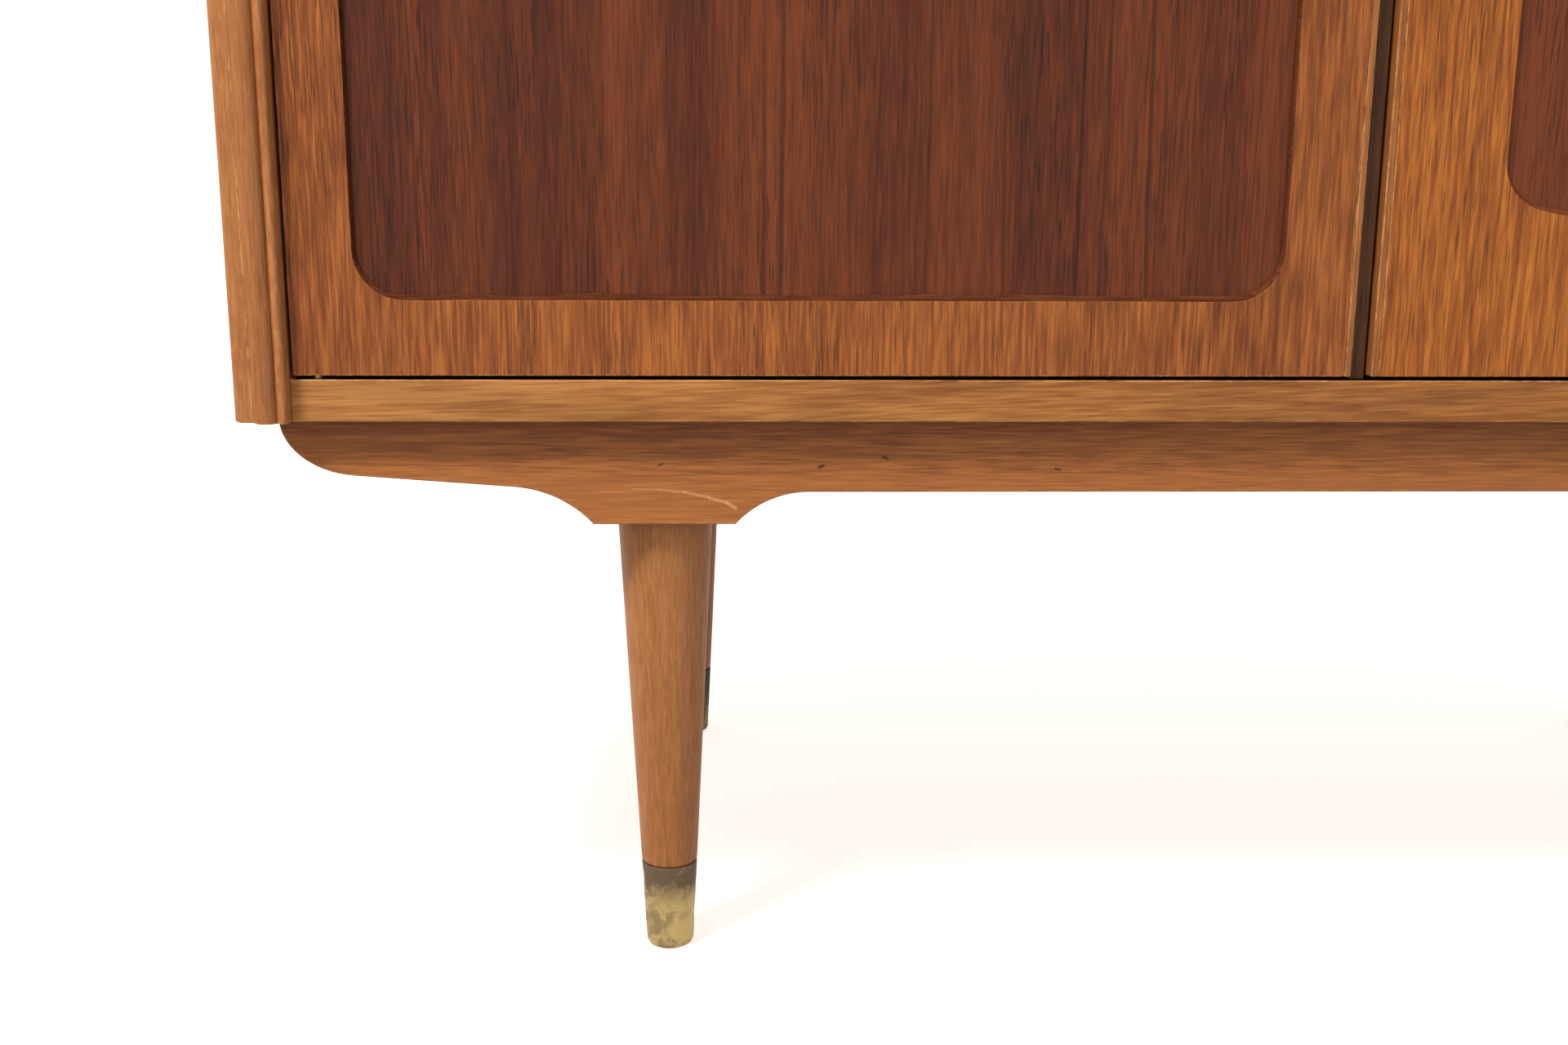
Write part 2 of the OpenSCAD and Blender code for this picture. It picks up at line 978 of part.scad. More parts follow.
module loudspeaker_cone() {
  color("saddlebrown")
    turned_speaker([
      [cone_r + paper_rim, paper_in],
      [cone_r + paper_rim, paper_in + paper_t],
      [cone_r - surround_w, paper_in + paper_t],
      [voice_r, cone_d],
      [0, cone_d - dome_h],
      [0, cone_d - dome_h - paper_t],
      [voice_r, cone_d - voice_h],
      [cone_r - surround_w - paper_rim, paper_in]
    ]);
}

module loudspeaker_magnet() {
  color("dimgray")
    turned_speaker([[0, basket_d], [magnet_r, basket_d], [magnet_r, basket_d + magnet_d],
      [0, basket_d + magnet_d]]);
}

module speaker_cloth() {
  color("tan")
    front_view(baffle_y - cloth_t, baffle_y)
      translate([speaker_x, speaker_z])
        square(cloth_w, center = true);
}

module chassis_tray() {
  color("silver")
    difference() {
      box([tray_x0, tray_y0, floor_z], [tray_x0 + tray_w, tray_y0 + tray_d, floor_z + tray_h]);
      box([tray_x0 + tray_wall, tray_y0 + tray_wall, floor_z - over],
        [tray_x0 + tray_w - tray_wall, tray_y0 + tray_d - tray_wall, floor_z + tray_h - tray_wall]);
      for (i = [0:valve_count - 1])
        translate([valve_x0 + i * valve_pitch, valve_y, floor_z])
          cylinder(r = valve_r - over, h = tray_h + over);
    }
}

module mains_transformer() {
  color("dimgray")
    translate([tray_x0 + tray_w - transformer[0] - transformer_in[0],
      tray_y0 + tray_d - transformer[1] - transformer_in[1], floor_z + tray_h]) {
      translate([0, transformer[1] / 2 - core_t / 2, 0])
        cube([transformer[0], core_t, transformer[2]]);
      translate([core_t / 2, 0, core_t / 2])
        cube([transformer[0] - core_t, transformer[1], transformer[2] - core_t]);
    }
}

// Glass valves standing in their sockets
module valves() {
  color("lightgray")
    for (i = [0:valve_count - 1])
      translate([valve_x0 + i * valve_pitch, valve_y, floor_z + tray_h])
        rotate_extrude()
          polygon(concat(
            [[0, -pin_l], [pin_ring_r, -pin_l], [pin_ring_r, 0], [valve_r, 0]],
            arc(0, valve_h - valve_r, valve_r, 0, 60, arc_steps),
            [[tip_r, valve_h], [0, valve_h + tip_h]]
          ));
}

module tuner_box() {
  color("silver")
    difference() {
      box([control_x[2] - tuner_w / 2, baffle_back_y, control_z - tuner_h / 2],
        [control_x[2] + tuner_w / 2, baffle_back_y + tuner_d, control_z + tuner_h / 2]);
      rod_y(control_x[2], control_z, spindle_r + pin_clear, baffle_back_y - over,
        baffle_back_y + spindle_in + over);
    }
}

module control_pots() {
  color("gray")
    for (i = [0, 1])
      difference() {
        rod_y(control_x[i], control_z, pot_r, baffle_back_y, baffle_back_y + pot_d);
        rod_y(control_x[i], control_z, spindle_r + pin_clear, baffle_back_y - over,
          baffle_back_y + spindle_in + over);
      }
}

module aerial_socket() {
  color("saddlebrown")
    difference() {
      box([aerial_x - aerial_w / 2, board_back_y - aerial_t, inlet_z - aerial_h / 2],
        [aerial_x + aerial_w / 2, board_back_y, inlet_z + aerial_h / 2]);
      for (side = [-1, 1])
        rod_y(aerial_x + side * aerial_pitch / 2, inlet_z, aerial_hole_r,
          board_back_y - aerial_t - over, back_y);
    }
}

module mains_inlet() {
  color("black") {
    difference() {
      box([inlet_x - inlet_w / 2 + fit_clear, back_y - inlet_d, inlet_z - inlet_h / 2 + fit_clear],
        [inlet_x + inlet_w / 2 - fit_clear, back_y, inlet_z + inlet_h / 2 - fit_clear]);
      box([inlet_x - inlet_w / 2 + inlet_wall, back_y - inlet_d + inlet_wall,
          inlet_z - inlet_h / 2 + inlet_wall],
        [inlet_x + inlet_w / 2 - inlet_wall, back_y + over, inlet_z + inlet_h / 2 - inlet_wall]);
    }
    for (side = [-1, 1])
      rod_y(inlet_x + side * inlet_pin_pitch / 2, inlet_z, inlet_pin_r, back_y - inlet_d + inlet_wall - eps,
        back_y - inlet_wall);
  }
}

// A fluted knob on its spindle
module knob(i) {
  color("wheat")
    union() {
      difference() {
        rod_y(control_x[i], control_z, knob_r, baffle_y - knob_gap - knob_l, baffle_y - knob_gap);
        for (k = [0:grip_count - 1])
          rod_y(control_x[i] + (knob_r + grip_r / 3) * cos(k * 360 / grip_count),
            control_z + (knob_r + grip_r / 3) * sin(k * 360 / grip_count), grip_r,
            baffle_y - knob_gap - knob_l - over, baffle_y - knob_gap - skirt_h);
      }
      rod_y(control_x[i], control_z, spindle_r, baffle_y - knob_gap - eps, baffle_back_y + spindle_in);
    }
}

module channel_knob() {
  knob(2);
}

module volume_knob() {
  knob(0);
}

module brightness_knob() {
  knob(1);
}

left_side_panel();
right_side_panel();
left_side_moulding();
right_side_moulding();
top_panel();
bottom_panel();
top_front_rail();
bottom_front_rail();
centre_partition();
meeting_strip();
left_back_panel();
rear_cover();
back_screws();
front_base_rail();
rear_base_rail();
cross_rails();
leg_blocks();
base_screws();
leg(-leg_x, leg_y[0]);  // front_left_leg
leg(leg_x, leg_y[0]);  // front_right_leg
leg(-leg_x, leg_y[1]);  // rear_left_leg
leg(leg_x, leg_y[1]);  // rear_right_leg
ferrule(-leg_x, leg_y[0]);  // front_left_ferrule
ferrule(leg_x, leg_y[0]);  // front_right_ferrule
ferrule(-leg_x, leg_y[1]);  // rear_left_ferrule
ferrule(leg_x, leg_y[1]);  // rear_right_ferrule
shelf();
shelf_pins();
door_catches();
hinge_plates();
screen_baffle();
screen_mask();
safety_glass();
picture_tube();
tube_strap();
deflection_coil();
loudspeaker_frame();
loudspeaker_cone();
loudspeaker_magnet();
speaker_cloth();
chassis_tray();
mains_transformer();
valves();
tuner_box();
control_pots();
aerial_socket();
mains_inlet();
left_door_panel();
left_door_inset();
left_door_lipping();
left_door_fittings();
left_door_pull();
right_door_panel();
right_door_inset();
right_door_lipping();
right_door_fittings();
right_door_pull();
channel_knob();
volume_knob();
brightness_knob();
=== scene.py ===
import math
from math import cos, radians, sin

import bmesh
import bpy
import numpy as np
from mathutils import Matrix, Vector


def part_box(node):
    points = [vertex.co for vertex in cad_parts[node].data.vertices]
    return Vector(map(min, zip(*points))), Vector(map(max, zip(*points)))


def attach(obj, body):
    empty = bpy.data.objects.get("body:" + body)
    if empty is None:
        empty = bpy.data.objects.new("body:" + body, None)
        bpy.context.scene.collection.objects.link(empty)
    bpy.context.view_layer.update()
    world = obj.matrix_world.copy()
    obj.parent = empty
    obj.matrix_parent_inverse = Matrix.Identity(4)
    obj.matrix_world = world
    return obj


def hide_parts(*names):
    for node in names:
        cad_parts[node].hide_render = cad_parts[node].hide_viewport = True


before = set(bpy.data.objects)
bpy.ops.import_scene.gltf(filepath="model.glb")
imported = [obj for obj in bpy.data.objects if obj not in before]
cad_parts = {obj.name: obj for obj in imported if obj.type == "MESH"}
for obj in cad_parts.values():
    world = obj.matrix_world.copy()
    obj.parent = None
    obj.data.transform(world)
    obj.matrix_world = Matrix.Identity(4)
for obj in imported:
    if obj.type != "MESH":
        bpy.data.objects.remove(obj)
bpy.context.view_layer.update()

MM = 0.001
FULL, QUARTER = 2 * math.pi, math.pi / 2
X, Y, Z = 0, 1, 2


def add_object(name, data):
    obj = bpy.data.objects.new(name, data)
    bpy.context.scene.collection.objects.link(obj)
    return obj


# ---- camera

CAMERA_AT = (-0.2739, -0.9126, 0.3851)
CAMERA_DOWN, CAMERA_YAW, CAMERA_ROLL = 12.54, 1.33, 0.23
CAMERA_LENS, CAMERA_SENSOR = 37.68, 36.0


def make_camera():
    """The camera's axes from how far it looks down, to the right, and how far it is rolled."""
    down, yaw, roll = (radians(a) for a in (CAMERA_DOWN, CAMERA_YAW, CAMERA_ROLL))
    forward = Vector((sin(yaw) * cos(down), cos(yaw) * cos(down), -sin(down)))
    right = Vector((cos(yaw), -sin(yaw), 0))
    up = right.cross(forward)
    x_axis = cos(roll) * right + sin(roll) * up
    y_axis = cos(roll) * up - sin(roll) * right
    data = bpy.data.cameras.new("camera")
    data.lens, data.sensor_width = CAMERA_LENS, CAMERA_SENSOR
    camera = add_object("camera", data)
    turn = Matrix((x_axis, y_axis, -forward)).transposed().to_4x4()
    camera.matrix_world = Matrix.Translation(CAMERA_AT) @ turn
    bpy.context.scene.camera = camera


make_camera()
bpy.context.scene.view_settings.view_transform = "Standard"

# ---- shader nodes


def srgb(r, g, b):
    """A linear colour from its 0 to 255 screen values."""
    return tuple(((v / 255 + 0.055) / 1.055) ** 2.4 for v in (r, g, b)) + (1.0,)


class Shader:
    """A Principled material, with short calls for the nodes that feed it."""

    def __init__(self, name):
        self.material = bpy.data.materials.new(name)
        self.material.use_nodes = True
        self.tree = self.material.node_tree
        self.bsdf = self.tree.nodes["Principled BSDF"]
        self.place = self.make("TexCoord").outputs["Object"]

    def feed(self, socket, value):
        if isinstance(value, bpy.types.NodeSocket):
            self.tree.links.new(value, socket)
        else:
            socket.default_value = value

    def make(self, kind, inputs=None, **settings):
        """A node with its settings, and its inputs set or linked by name or number."""
        node = self.tree.nodes.new("ShaderNode" + kind)
        for key, value in settings.items():
            setattr(node, key, value)
        for key, value in (inputs or {}).items():
            self.feed(node.inputs[key], value)
        return node

    def set(self, **inputs):
        """Sets or links inputs of the Principled node. An underscore stands for a space."""
        for key, value in inputs.items():
            self.feed(self.bsdf.inputs[key.replace("_", " ")], value)
        return self

    def calc(self, operation, a, b=0.0, clamp=False):
        return self.make("Math", {0: a, 1: b}, operation=operation, use_clamp=clamp).outputs[0]

    def plus(self, a, b, clamp=False):
        return self.calc("ADD", a, b, clamp)

    def minus(self, a, b):
        return self.calc("SUBTRACT", a, b)

    def times(self, a, b, clamp=False):
        return self.calc("MULTIPLY", a, b, clamp)

    def sine(self, a, pitch):
        return self.calc("SINE", self.times(a, pitch))

    def vector(self, operation, a, b=(0.0, 0.0, 0.0), scale=1.0, output=0):
        inputs = {0: a, 1: b, 3: scale} if operation == "SCALE" else {0: a, 1: b}
        return self.make("VectorMath", inputs, operation=operation).outputs[output]

    def moved(self, place, location=(0, 0, 0), rotation=(0, 0, 0), scale=(1, 1, 1)):
        inputs = {"Vector": place, "Location": location, "Rotation": rotation, "Scale": scale}
        return self.make("Mapping", inputs).outputs[0]

    def noise(self, place, scale=1.0, detail=2.0, rough=0.5, warp=0.0, output="Fac"):
        inputs = {"Vector": place, "Scale": scale, "Detail": detail, "Roughness": rough, "Distortion": warp}
        return self.make("TexNoise", inputs).outputs[output]

    def grain(self, place, axis, cells, **noise):
        """Noise drawn out along an axis. cells is how many there are per metre across it and along it."""
        scale = [cells[0]] * 3
        scale[axis] = cells[1]
        return self.noise(self.moved(place, scale=tuple(scale)), **noise)

    def span(self, value, low, high, to_low=0.0, to_high=1.0):
        """Value from low to high, as a smooth step from to_low to to_high."""
        inputs = {"Value": value, "From Min": low, "From Max": high, "To Min": to_low, "To Max": to_high}
        return self.make("MapRange", inputs, interpolation_type="SMOOTHSTEP").outputs[0]

    def ramp(self, value, *colours):
        node = self.make("ValToRGB", {0: value})
        stops = node.color_ramp.elements
        while len(stops) < len(colours):
            stops.new(0.5)
        for i, colour in enumerate(colours):
            stops[i].position = i / (len(colours) - 1)
            stops[i].color = colour
        return node.outputs[0]

    def mix(self, share, a, b):
        return self.make("Mix", {0: share, 6: a, 7: b}, data_type="RGBA").outputs[2]

    def bump(self, height, depth):
        return self.set(Normal=self.make("Bump", {"Distance": depth, "Height": height}).outputs[0])

    def parts(self):
        """The place's x, y and z."""
        return self.make("SeparateXYZ", {0: self.place}).outputs

    def line(self, start, end, width):
        """1 on the line from start to end in front view, and 0 beyond its width."""
        flat = self.vector("MULTIPLY", self.place, (1.0, 0.0, 1.0))
        along = Vector((end[0] - start[0], 0, end[1] - start[1]))
        offset = self.vector("SUBTRACT", flat, (start[0], 0.0, start[1]))
        dot = self.vector("DOT_PRODUCT", offset, tuple(along), output=1)
        share = self.calc("DIVIDE", dot, along.length_squared, True)
        nearest = self.vector("SCALE", tuple(along), scale=share)
        away = self.vector("LENGTH", self.vector("SUBTRACT", offset, nearest), output=1)
        return self.span(away, 0.2 * width, width, 1.0, 0.0)


# ---- woods

# Cells per metre, across and along the grain
WANDER, DRIFT, BAND, STREAK, FIBRE = (5.0, 3.0), (5.0, 1.6), (46.0, 0.8), (640.0, 34.0), (2400.0, 60.0)
PORE, PORE_PATCH, LINE, LINE_CUT = (1100.0, 48.0), (30.0, 6.0), (16.0, 0.22), (60.0, 1.2)
RING, BLOT, SPECK = (9.0, 1.5), (34.0, 7.0), (620.0, 130.0)
WANDER_BY, WOOD_BUMP = 3 * MM, 0.09 * MM


def wood(
    name, axis, deep, pale, seed, streak, band, fibre=1.2, tone=1.0, pores=0.5, lines=0.0, figure=0.0,
    stain=0.0, rough=0.5, wear=0.7, tilt=0.0, shine=0.16, worn_colour=(196, 138, 84), fade=None, marks=(),
):
    """Satin wood with its grain along an axis: streaks, fibres, pores, bands, drifts of tone, worn edges,
    and, when fade is given, painted light: a lighter band below a height.
    """
    s = Shader(name)
    shifted = s.moved(s.place, location=(seed, seed * 1.7, seed * 0.6), rotation=(0, tilt, 0))
    wander = s.vector("SUBTRACT", s.grain(shifted, axis, WANDER, detail=1.0, output="Color"), (0.5, 0.5, 0.5))
    place = s.vector("ADD", shifted, s.vector("SCALE", wander, scale=WANDER_BY))
    streaks, fibres = s.grain(place, axis, STREAK), s.grain(place, axis, FIBRE)
    value = 0.5
    for layer, gain in (
        (s.grain(place, axis, DRIFT), tone), (s.grain(place, axis, BAND, detail=3.0, rough=0.6), band),
        (streaks, streak), (fibres, fibre),
    ):
        value = s.plus(value, s.times(s.minus(layer, 0.5), gain))
    middle_tone = tuple((a + b) / 2 * k for a, b, k in zip(deep, pale, (1.0, 0.985, 0.96)))
    colour = s.ramp(value, srgb(*deep), srgb(*middle_tone), srgb(*pale))
    dark = srgb(*(0.55 * v for v in deep))
    pore = s.span(s.grain(place, axis, PORE, detail=1.0), 0.56, 0.66)
    pore = s.times(pore, s.times(s.span(s.grain(place, axis, PORE_PATCH), 0.35, 0.65), pores))
    colour = s.mix(pore, colour, dark)
    if lines:
        thin = s.span(s.sine(s.grain(place, axis, LINE), 95.0), 0.86, 0.995)
        cut = s.span(s.grain(place, axis, LINE_CUT), 0.42, 0.60)
        colour = s.mix(s.times(s.times(thin, cut), lines), colour, dark)
    if figure:
        ring = s.span(s.sine(s.grain(place, axis, RING, detail=1.0), 110.0), 0.1, 0.95)
        colour = s.mix(s.times(ring, figure), colour, dark)
    if stain:
        blot = s.span(s.grain(s.moved(s.place, location=(seed, 0, seed)), axis, BLOT), 0.56, 0.72)
        colour = s.mix(s.times(blot, stain), colour, dark)
    # fade is painted light: below a height the colour is mixed towards a lighter tone, for the part lit below
    # a shadow cast from above.
    if fade:
        low, high, share, shade = fade
        wobble = s.times(s.minus(s.noise(s.place, 26.0), 0.5), 4 * MM)
        colour = s.mix(s.span(s.plus(s.parts()[Z], wobble), low, high, share, 0.0), colour, srgb(*shade))
    for start, end, width, shade, strength in marks:
        colour = s.mix(s.times(s.line(start, end, width), strength), colour, srgb(*shade))
    edge = s.make("Attribute", attribute_name="wear").outputs["Fac"]
    speck = s.span(s.grain(s.place, axis, SPECK, detail=3.0, rough=0.65), 0.44, 0.62)
    rub = s.span(s.noise(s.place, 34.0), 0.35, 0.66)
    rubbed = s.times(s.plus(s.times(speck, 0.75), s.times(rub, 0.35)), wear)
    worn = s.make("Math", {0: edge, 1: rubbed}, operation="MULTIPLY", label="worn")
    colour = s.mix(worn.outputs[0], colour, srgb(*worn_colour))
    gloss = s.span(streaks, 0.3, 0.7, rough + 0.05, rough - 0.06)
    s.set(Base_Color=colour, Roughness=gloss, Specular_IOR_Level=shine)
    height = s.minus(s.plus(streaks, s.times(fibres, 0.6)), s.times(pore, 1.2))
    return s.bump(height, WOOD_BUMP).material


def worn_edge(material):
    """The same wood, worn all over, for the narrow faces of a bevelled edge."""
    copy = material.copy()
    copy.name = material.name + "_edge"
    node = next(n for n in copy.node_tree.nodes if n.label == "worn")
    copy.node_tree.links.remove(node.inputs[0].links[0])
    node.inputs[0].default_value = 1.0
    return copy


# ---- other materials

BRUSHED, SLUB = (1800.0, 60.0), (900.0, 60.0)
THREAD = 1.1 * MM


def metal(
    name, colour, dark, rough=0.4, patches=0.5, size=60.0, metallic=1.0, brushed=None, pits=0.0, rise=None,
):
    """Metal with dull patches, fine scratches and, if brushed, a direction.

    rise is the height where a painted darkening starts and the height where it is full: painted reflection of
    the dark underside above the metal.
    """
    s = Shader(name)
    dull = s.span(s.noise(s.place, size, detail=5.0, rough=0.65, warp=0.4), 0.42, 0.62)
    if brushed is None:
        fine = s.noise(s.place, size * 9, detail=3.0, rough=0.6)
    else:
        fine = s.grain(s.place, brushed, BRUSHED)
    share = s.times(s.plus(dull, s.times(s.minus(fine, 0.5), 0.6)), patches, True)
    # Darker towards the top: painted reflection of the dark underside above.
    if rise:
        wave = s.times(s.minus(s.noise(s.place, 90.0), 0.5), 14 * MM)
        share = s.plus(share, s.times(s.span(s.plus(s.parts()[Z], wave), *rise), 0.8), True)
    s.set(Base_Color=s.mix(share, srgb(*colour), srgb(*dark)), Metallic=metallic)
    s.set(Roughness=s.span(share, 0.0, 0.8, rough, rough + 0.25))
    cells = s.make("TexVoronoi", {"Vector": s.place, "Scale": size * 7}).outputs["Distance"]
    return s.bump(s.minus(fine, s.times(s.span(cells, 0.0, 0.25, 1.0, 0.0), pits)), 0.05 * MM).material


def plastic(name, colour, shade, rough=0.3, size=12.0):
    """Moulded plastic: a faint drift of colour, fine orange peel and handling marks in its gloss."""
    s = Shader(name)
    drift = s.noise(s.place, size, detail=3.0)
    dust = s.span(s.noise(s.place, 2600.0, detail=1.0), 0.66, 0.74)
    tint = s.mix(s.span(drift, 0.3, 0.7), srgb(*colour), srgb(*shade))
    s.set(Base_Color=s.mix(s.times(dust, 0.12), tint, srgb(150, 140, 125)))
    s.set(Roughness=s.span(s.noise(s.place, 55.0, detail=4.0), 0.3, 0.7, rough, rough + 0.12))
    return s.bump(s.noise(s.place, 900.0), 0.02 * MM).material


def fibre_board(name):
    """Brown hardboard: mottled fibres, pressed smooth on its outer face."""
    s = Shader(name)
    fibres = s.noise(s.place, 240.0, detail=6.0, rough=0.7, warp=2.2)
    blot = s.noise(s.place, 9.0, detail=3.0)
    fleck = s.span(s.noise(s.place, 700.0, detail=3.0, warp=1.5), 0.58, 0.70)
    value = s.plus(s.times(fibres, 0.7), s.times(blot, 0.16))
    colour = s.ramp(s.span(value, 0.28, 0.62), srgb(84, 58, 36), srgb(116, 82, 52), srgb(146, 108, 70))
    s.set(Base_Color=s.mix(s.times(fleck, 0.5), colour, srgb(60, 40, 26)))
    s.set(Roughness=s.span(fibres, 0.3, 0.7, 0.52, 0.72))
    return s.bump(fibres, 0.1 * MM).material


def glass(name, colour, rough, weight, ior=1.5, haze=30.0):
    """Blown glass. weight is how much light goes through it."""
    s = Shader(name)
    smear = s.span(s.noise(s.place, haze, detail=4.0), 0.35, 0.75, rough, rough + 0.06)
    s.set(Base_Color=colour, Roughness=smear, Transmission_Weight=weight, IOR=ior)
    return s.bump(s.noise(s.place, 14.0), 0.02 * MM).material


def clear_sheet(name, tint, cover, rough):
    """A thin flat pane: mostly see-through, with a faint tint, a gloss and wiped smears."""
    s = Shader(name)
    smear = s.span(s.noise(s.place, 22.0, detail=4.0), 0.35, 0.75, rough, rough + 0.05)
    return s.set(Base_Color=tint, Roughness=smear, Alpha=cover, Specular_IOR_Level=0.9).material


def woven(name):
    """Loudspeaker cloth: a plain weave of two coloured yarns with a glossy thread now and then."""
    s = Shader(name)
    pitch = FULL / THREAD
    place = s.parts()
    over = s.times(s.sine(place[X], pitch), s.sine(place[Z], pitch))
    gold = s.span(s.sine(place[X], pitch / 6), 0.8, 0.95)
    slub = s.grain(s.place, X, SLUB)
    weave = s.span(s.plus(over, slub), -0.4, 1.6)
    base = s.ramp(weave, srgb(92, 68, 44), srgb(168, 138, 96), srgb(206, 180, 132))
    s.set(Base_Color=s.mix(s.times(gold, 0.6), base, srgb(214, 176, 96)), Sheen_Weight=0.25)
    s.set(Roughness=s.span(slub, 0.3, 0.7, 0.6, 0.85))
    return s.bump(over, 0.25 * MM).material


BRASS = metal("aged_brass", (198, 172, 112), (92, 74, 50), rough=0.34, patches=0.75, pits=0.4)
# Both ferrule metals darken towards the top: painted reflection of the cabinet's dark underside.
FERRULE = metal(
    "ferrule_brass", (172, 149, 97), (98, 82, 62), rough=0.42, patches=0.6, size=80.0, pits=0.3, metallic=0.7,
    rise=(19.5 * MM, 41 * MM),
)
# The rear ferrules' brass is a darker copy: painted shade, for the shade under the cabinet.
SHADED_REAR_FERRULE = metal(
    "shaded_rear_ferrule_brass", (112, 94, 68), (66, 54, 42), rough=0.5, patches=0.6, pits=0.3, metallic=0.7,
    rise=(10 * MM, 40 * MM),
)
TRIM = metal("trim_brass", (196, 168, 106), (140, 114, 70), rough=0.32, patches=0.35, size=30.0)
ZINC = metal("zinc_steel", (196, 198, 196), (128, 130, 130), rough=0.32, size=90.0)
SCREW = metal("screw_steel", (120, 116, 110), (52, 48, 44), rough=0.42, patches=0.6, size=140.0)
CHASSIS = metal("chassis_metal", (190, 192, 188), (140, 140, 134), patches=0.4, brushed=X)
BLACK_METAL = metal("black_enamel", (26, 26, 27), (52, 48, 44), rough=0.35, patches=0.4, metallic=0.0)
GREY_METAL = metal("grey_enamel", (92, 99, 104), (66, 70, 72), rough=0.38, metallic=0.0)
CREAM = plastic("cream_plastic", (222, 206, 168), (206, 186, 142), rough=0.28)
BLACK_PLASTIC = plastic("black_plastic", (22, 20, 20), (34, 30, 28), rough=0.36)
COIL = plastic("coil_varnish", (112, 50, 26), (84, 36, 20), size=60.0)
PAPER = plastic("paper_cone", (52, 42, 34), (38, 30, 24), rough=0.8, size=40.0)
CLOTH = woven("speaker_cloth")
BOARD = fibre_board("hardboard")
PANE = clear_sheet("safety_glass", (0.03, 0.04, 0.035, 1.0), 0.28, 0.02)
TUBE = glass("tube_glass", srgb(104, 116, 108), 0.06, 0.0, haze=14.0)
VALVE = glass("valve_glass", (0.92, 0.95, 0.95, 1.0), 0.01, 0.9, ior=1.45)
GETTER = metal("getter_silver", (186, 186, 182), (96, 92, 90), rough=0.2, size=120.0)

CUT = wood(
    "cut_teak", X, (58, 28, 17), (102, 56, 34), seed=14.6, streak=1.4, band=1.0, pores=0.3, rough=0.9,
    wear=0.3, shine=0.0,
)
LIGHT = wood(
    "light_teak", Z, (102, 52, 25), (166, 97, 44), seed=0.31, streak=2.0, fibre=1.5, band=0.8, tone=0.45,
    pores=0.6, figure=0.08,
)
ORANGE = wood(
    "orange_teak", Z, (118, 60, 24), (180, 108, 42), seed=1.73, streak=1.8, fibre=1.4, band=0.8, tone=0.4,
)
DARK = wood(
    "dark_teak", Z, (60, 26, 14), (110, 53, 25), seed=2.37, streak=1.2, band=2.4, tone=0.9, pores=0.6,
    lines=0.6, rough=0.48, worn_colour=(136, 82, 52),
)
MOULDING = wood(
    "moulding_wood", Z, (131, 78, 42), (182, 120, 68), seed=3.11, streak=1.0, band=0.9, pores=0.25, wear=0.9,
)
RAIL = wood(
    "rail_wood", X, (130, 77, 35), (179, 122, 66), seed=4.57, streak=1.8, band=1.8, tone=1.2, pores=0.3,
    tilt=0.03, figure=0.2, stain=0.35,
)
LEG = wood("leg_wood", Z, (125, 76, 42), (170, 113, 65), seed=5.29, streak=0.9, band=0.8, tone=1.2, pores=0.3)
LIPPING = wood("lipping_wood", Z, (122, 71, 34), (170, 110, 58), seed=6.13, streak=1.3, band=0.8, pores=0.3)
# The meeting strip's wood is darkened to the tone seen in the narrow gap between the doors: painted shade.
SHADED_STRIP = wood("shaded_strip_wood", Z, (60, 36, 20), (92, 58, 33), seed=7.71, streak=1.3, band=1.0, pores=0.4)
TOP = wood("top_teak", X, (94, 56, 28), (150, 99, 50), seed=8.03, streak=1.9, band=0.9, tone=0.7, figure=0.14)
SIDE = wood(
    "side_teak", Z, (96, 55, 28), (154, 99, 50), seed=9.41, streak=1.9, band=0.9, tone=0.7, figure=0.16,
)
INNER, INNER_UP = (
    wood(name, axis, (118, 74, 44), (176, 122, 78), seed=seed, streak=1.2, band=1.0, pores=0.3, rough=0.6)
    for name, axis, seed in (("inner_wood", X, 10.7), ("inner_wood_upright", Z, 11.9))
)

# ---- mesh helpers

SAME_POINT, ROUND_STEPS, WAVES = 2e-6, 3, 5


def ridge(t, seed):
    """A smooth repeatable wander between about -1 and 1 along t, which is in metres."""
    terms = (sin(t * (37 + 61 * k) + seed * (2.1 + k) + k * k) / (1 + 0.5 * k) for k in range(WAVES))
    return sum(terms) / WAVES * 1.6


def middle(box):
    """The centre of a low and a high corner, as x, y, z."""
    return tuple((a + b) / 2 for a, b in zip(*box))


def at(origin, *points):
    """Profile points in metres from (radius, along) in mm, with along counted from origin."""
    return [(radius * MM, origin + along * MM) for radius, along in points]


def arc(cx, cy, r, a0, a1, n):
    """Points on a circle from angle a0 to a1, in degrees."""
    angles = [radians(a0 + (a1 - a0) * i / n) for i in range(n + 1)]
    return [(cx + r * cos(a), cy + r * sin(a)) for a in angles]


def rounded(width, height, r, n=10):
    """A rounded rectangle about the origin, anticlockwise from its lower right corner's arc."""
    w, h = width / 2 - r, height / 2 - r
    right = arc(w, -h, r, -90, 0, n) + arc(w, h, r, 0, 90, n)
    return right + arc(-w, h, r, 90, 180, n) + arc(-w, -h, r, 180, 270, n)


def inward(points, distance):
    """A closed anticlockwise outline moved inwards by a small distance."""
    made = []
    for i, (x, y) in enumerate(points):
        (ax, ay), (bx, by) = points[i - 1], points[(i + 1) % len(points)]
        before, after = Vector((x - ax, y - ay)), Vector((bx - x, by - y))
        if before.length < 1e-9 or after.length < 1e-9:
            made.append((x, y))
            continue
        n1 = Vector((-before.y, before.x)).normalized()
        n2 = Vector((-after.y, after.x)).normalized()
        n = (n1 + n2).normalized()
        reach = distance / max(0.5, n.dot(n1))
        made.append((x + n.x * reach, y + n.y * reach))
    return made


def eased(ease):
    """How far along and how far in each step of an edge's quarter round is."""
    angles = [QUARTER * k / ROUND_STEPS for k in range(ROUND_STEPS + 1)]
    return [(ease * (1 - cos(a)), ease * (1 - sin(a))) for a in angles]


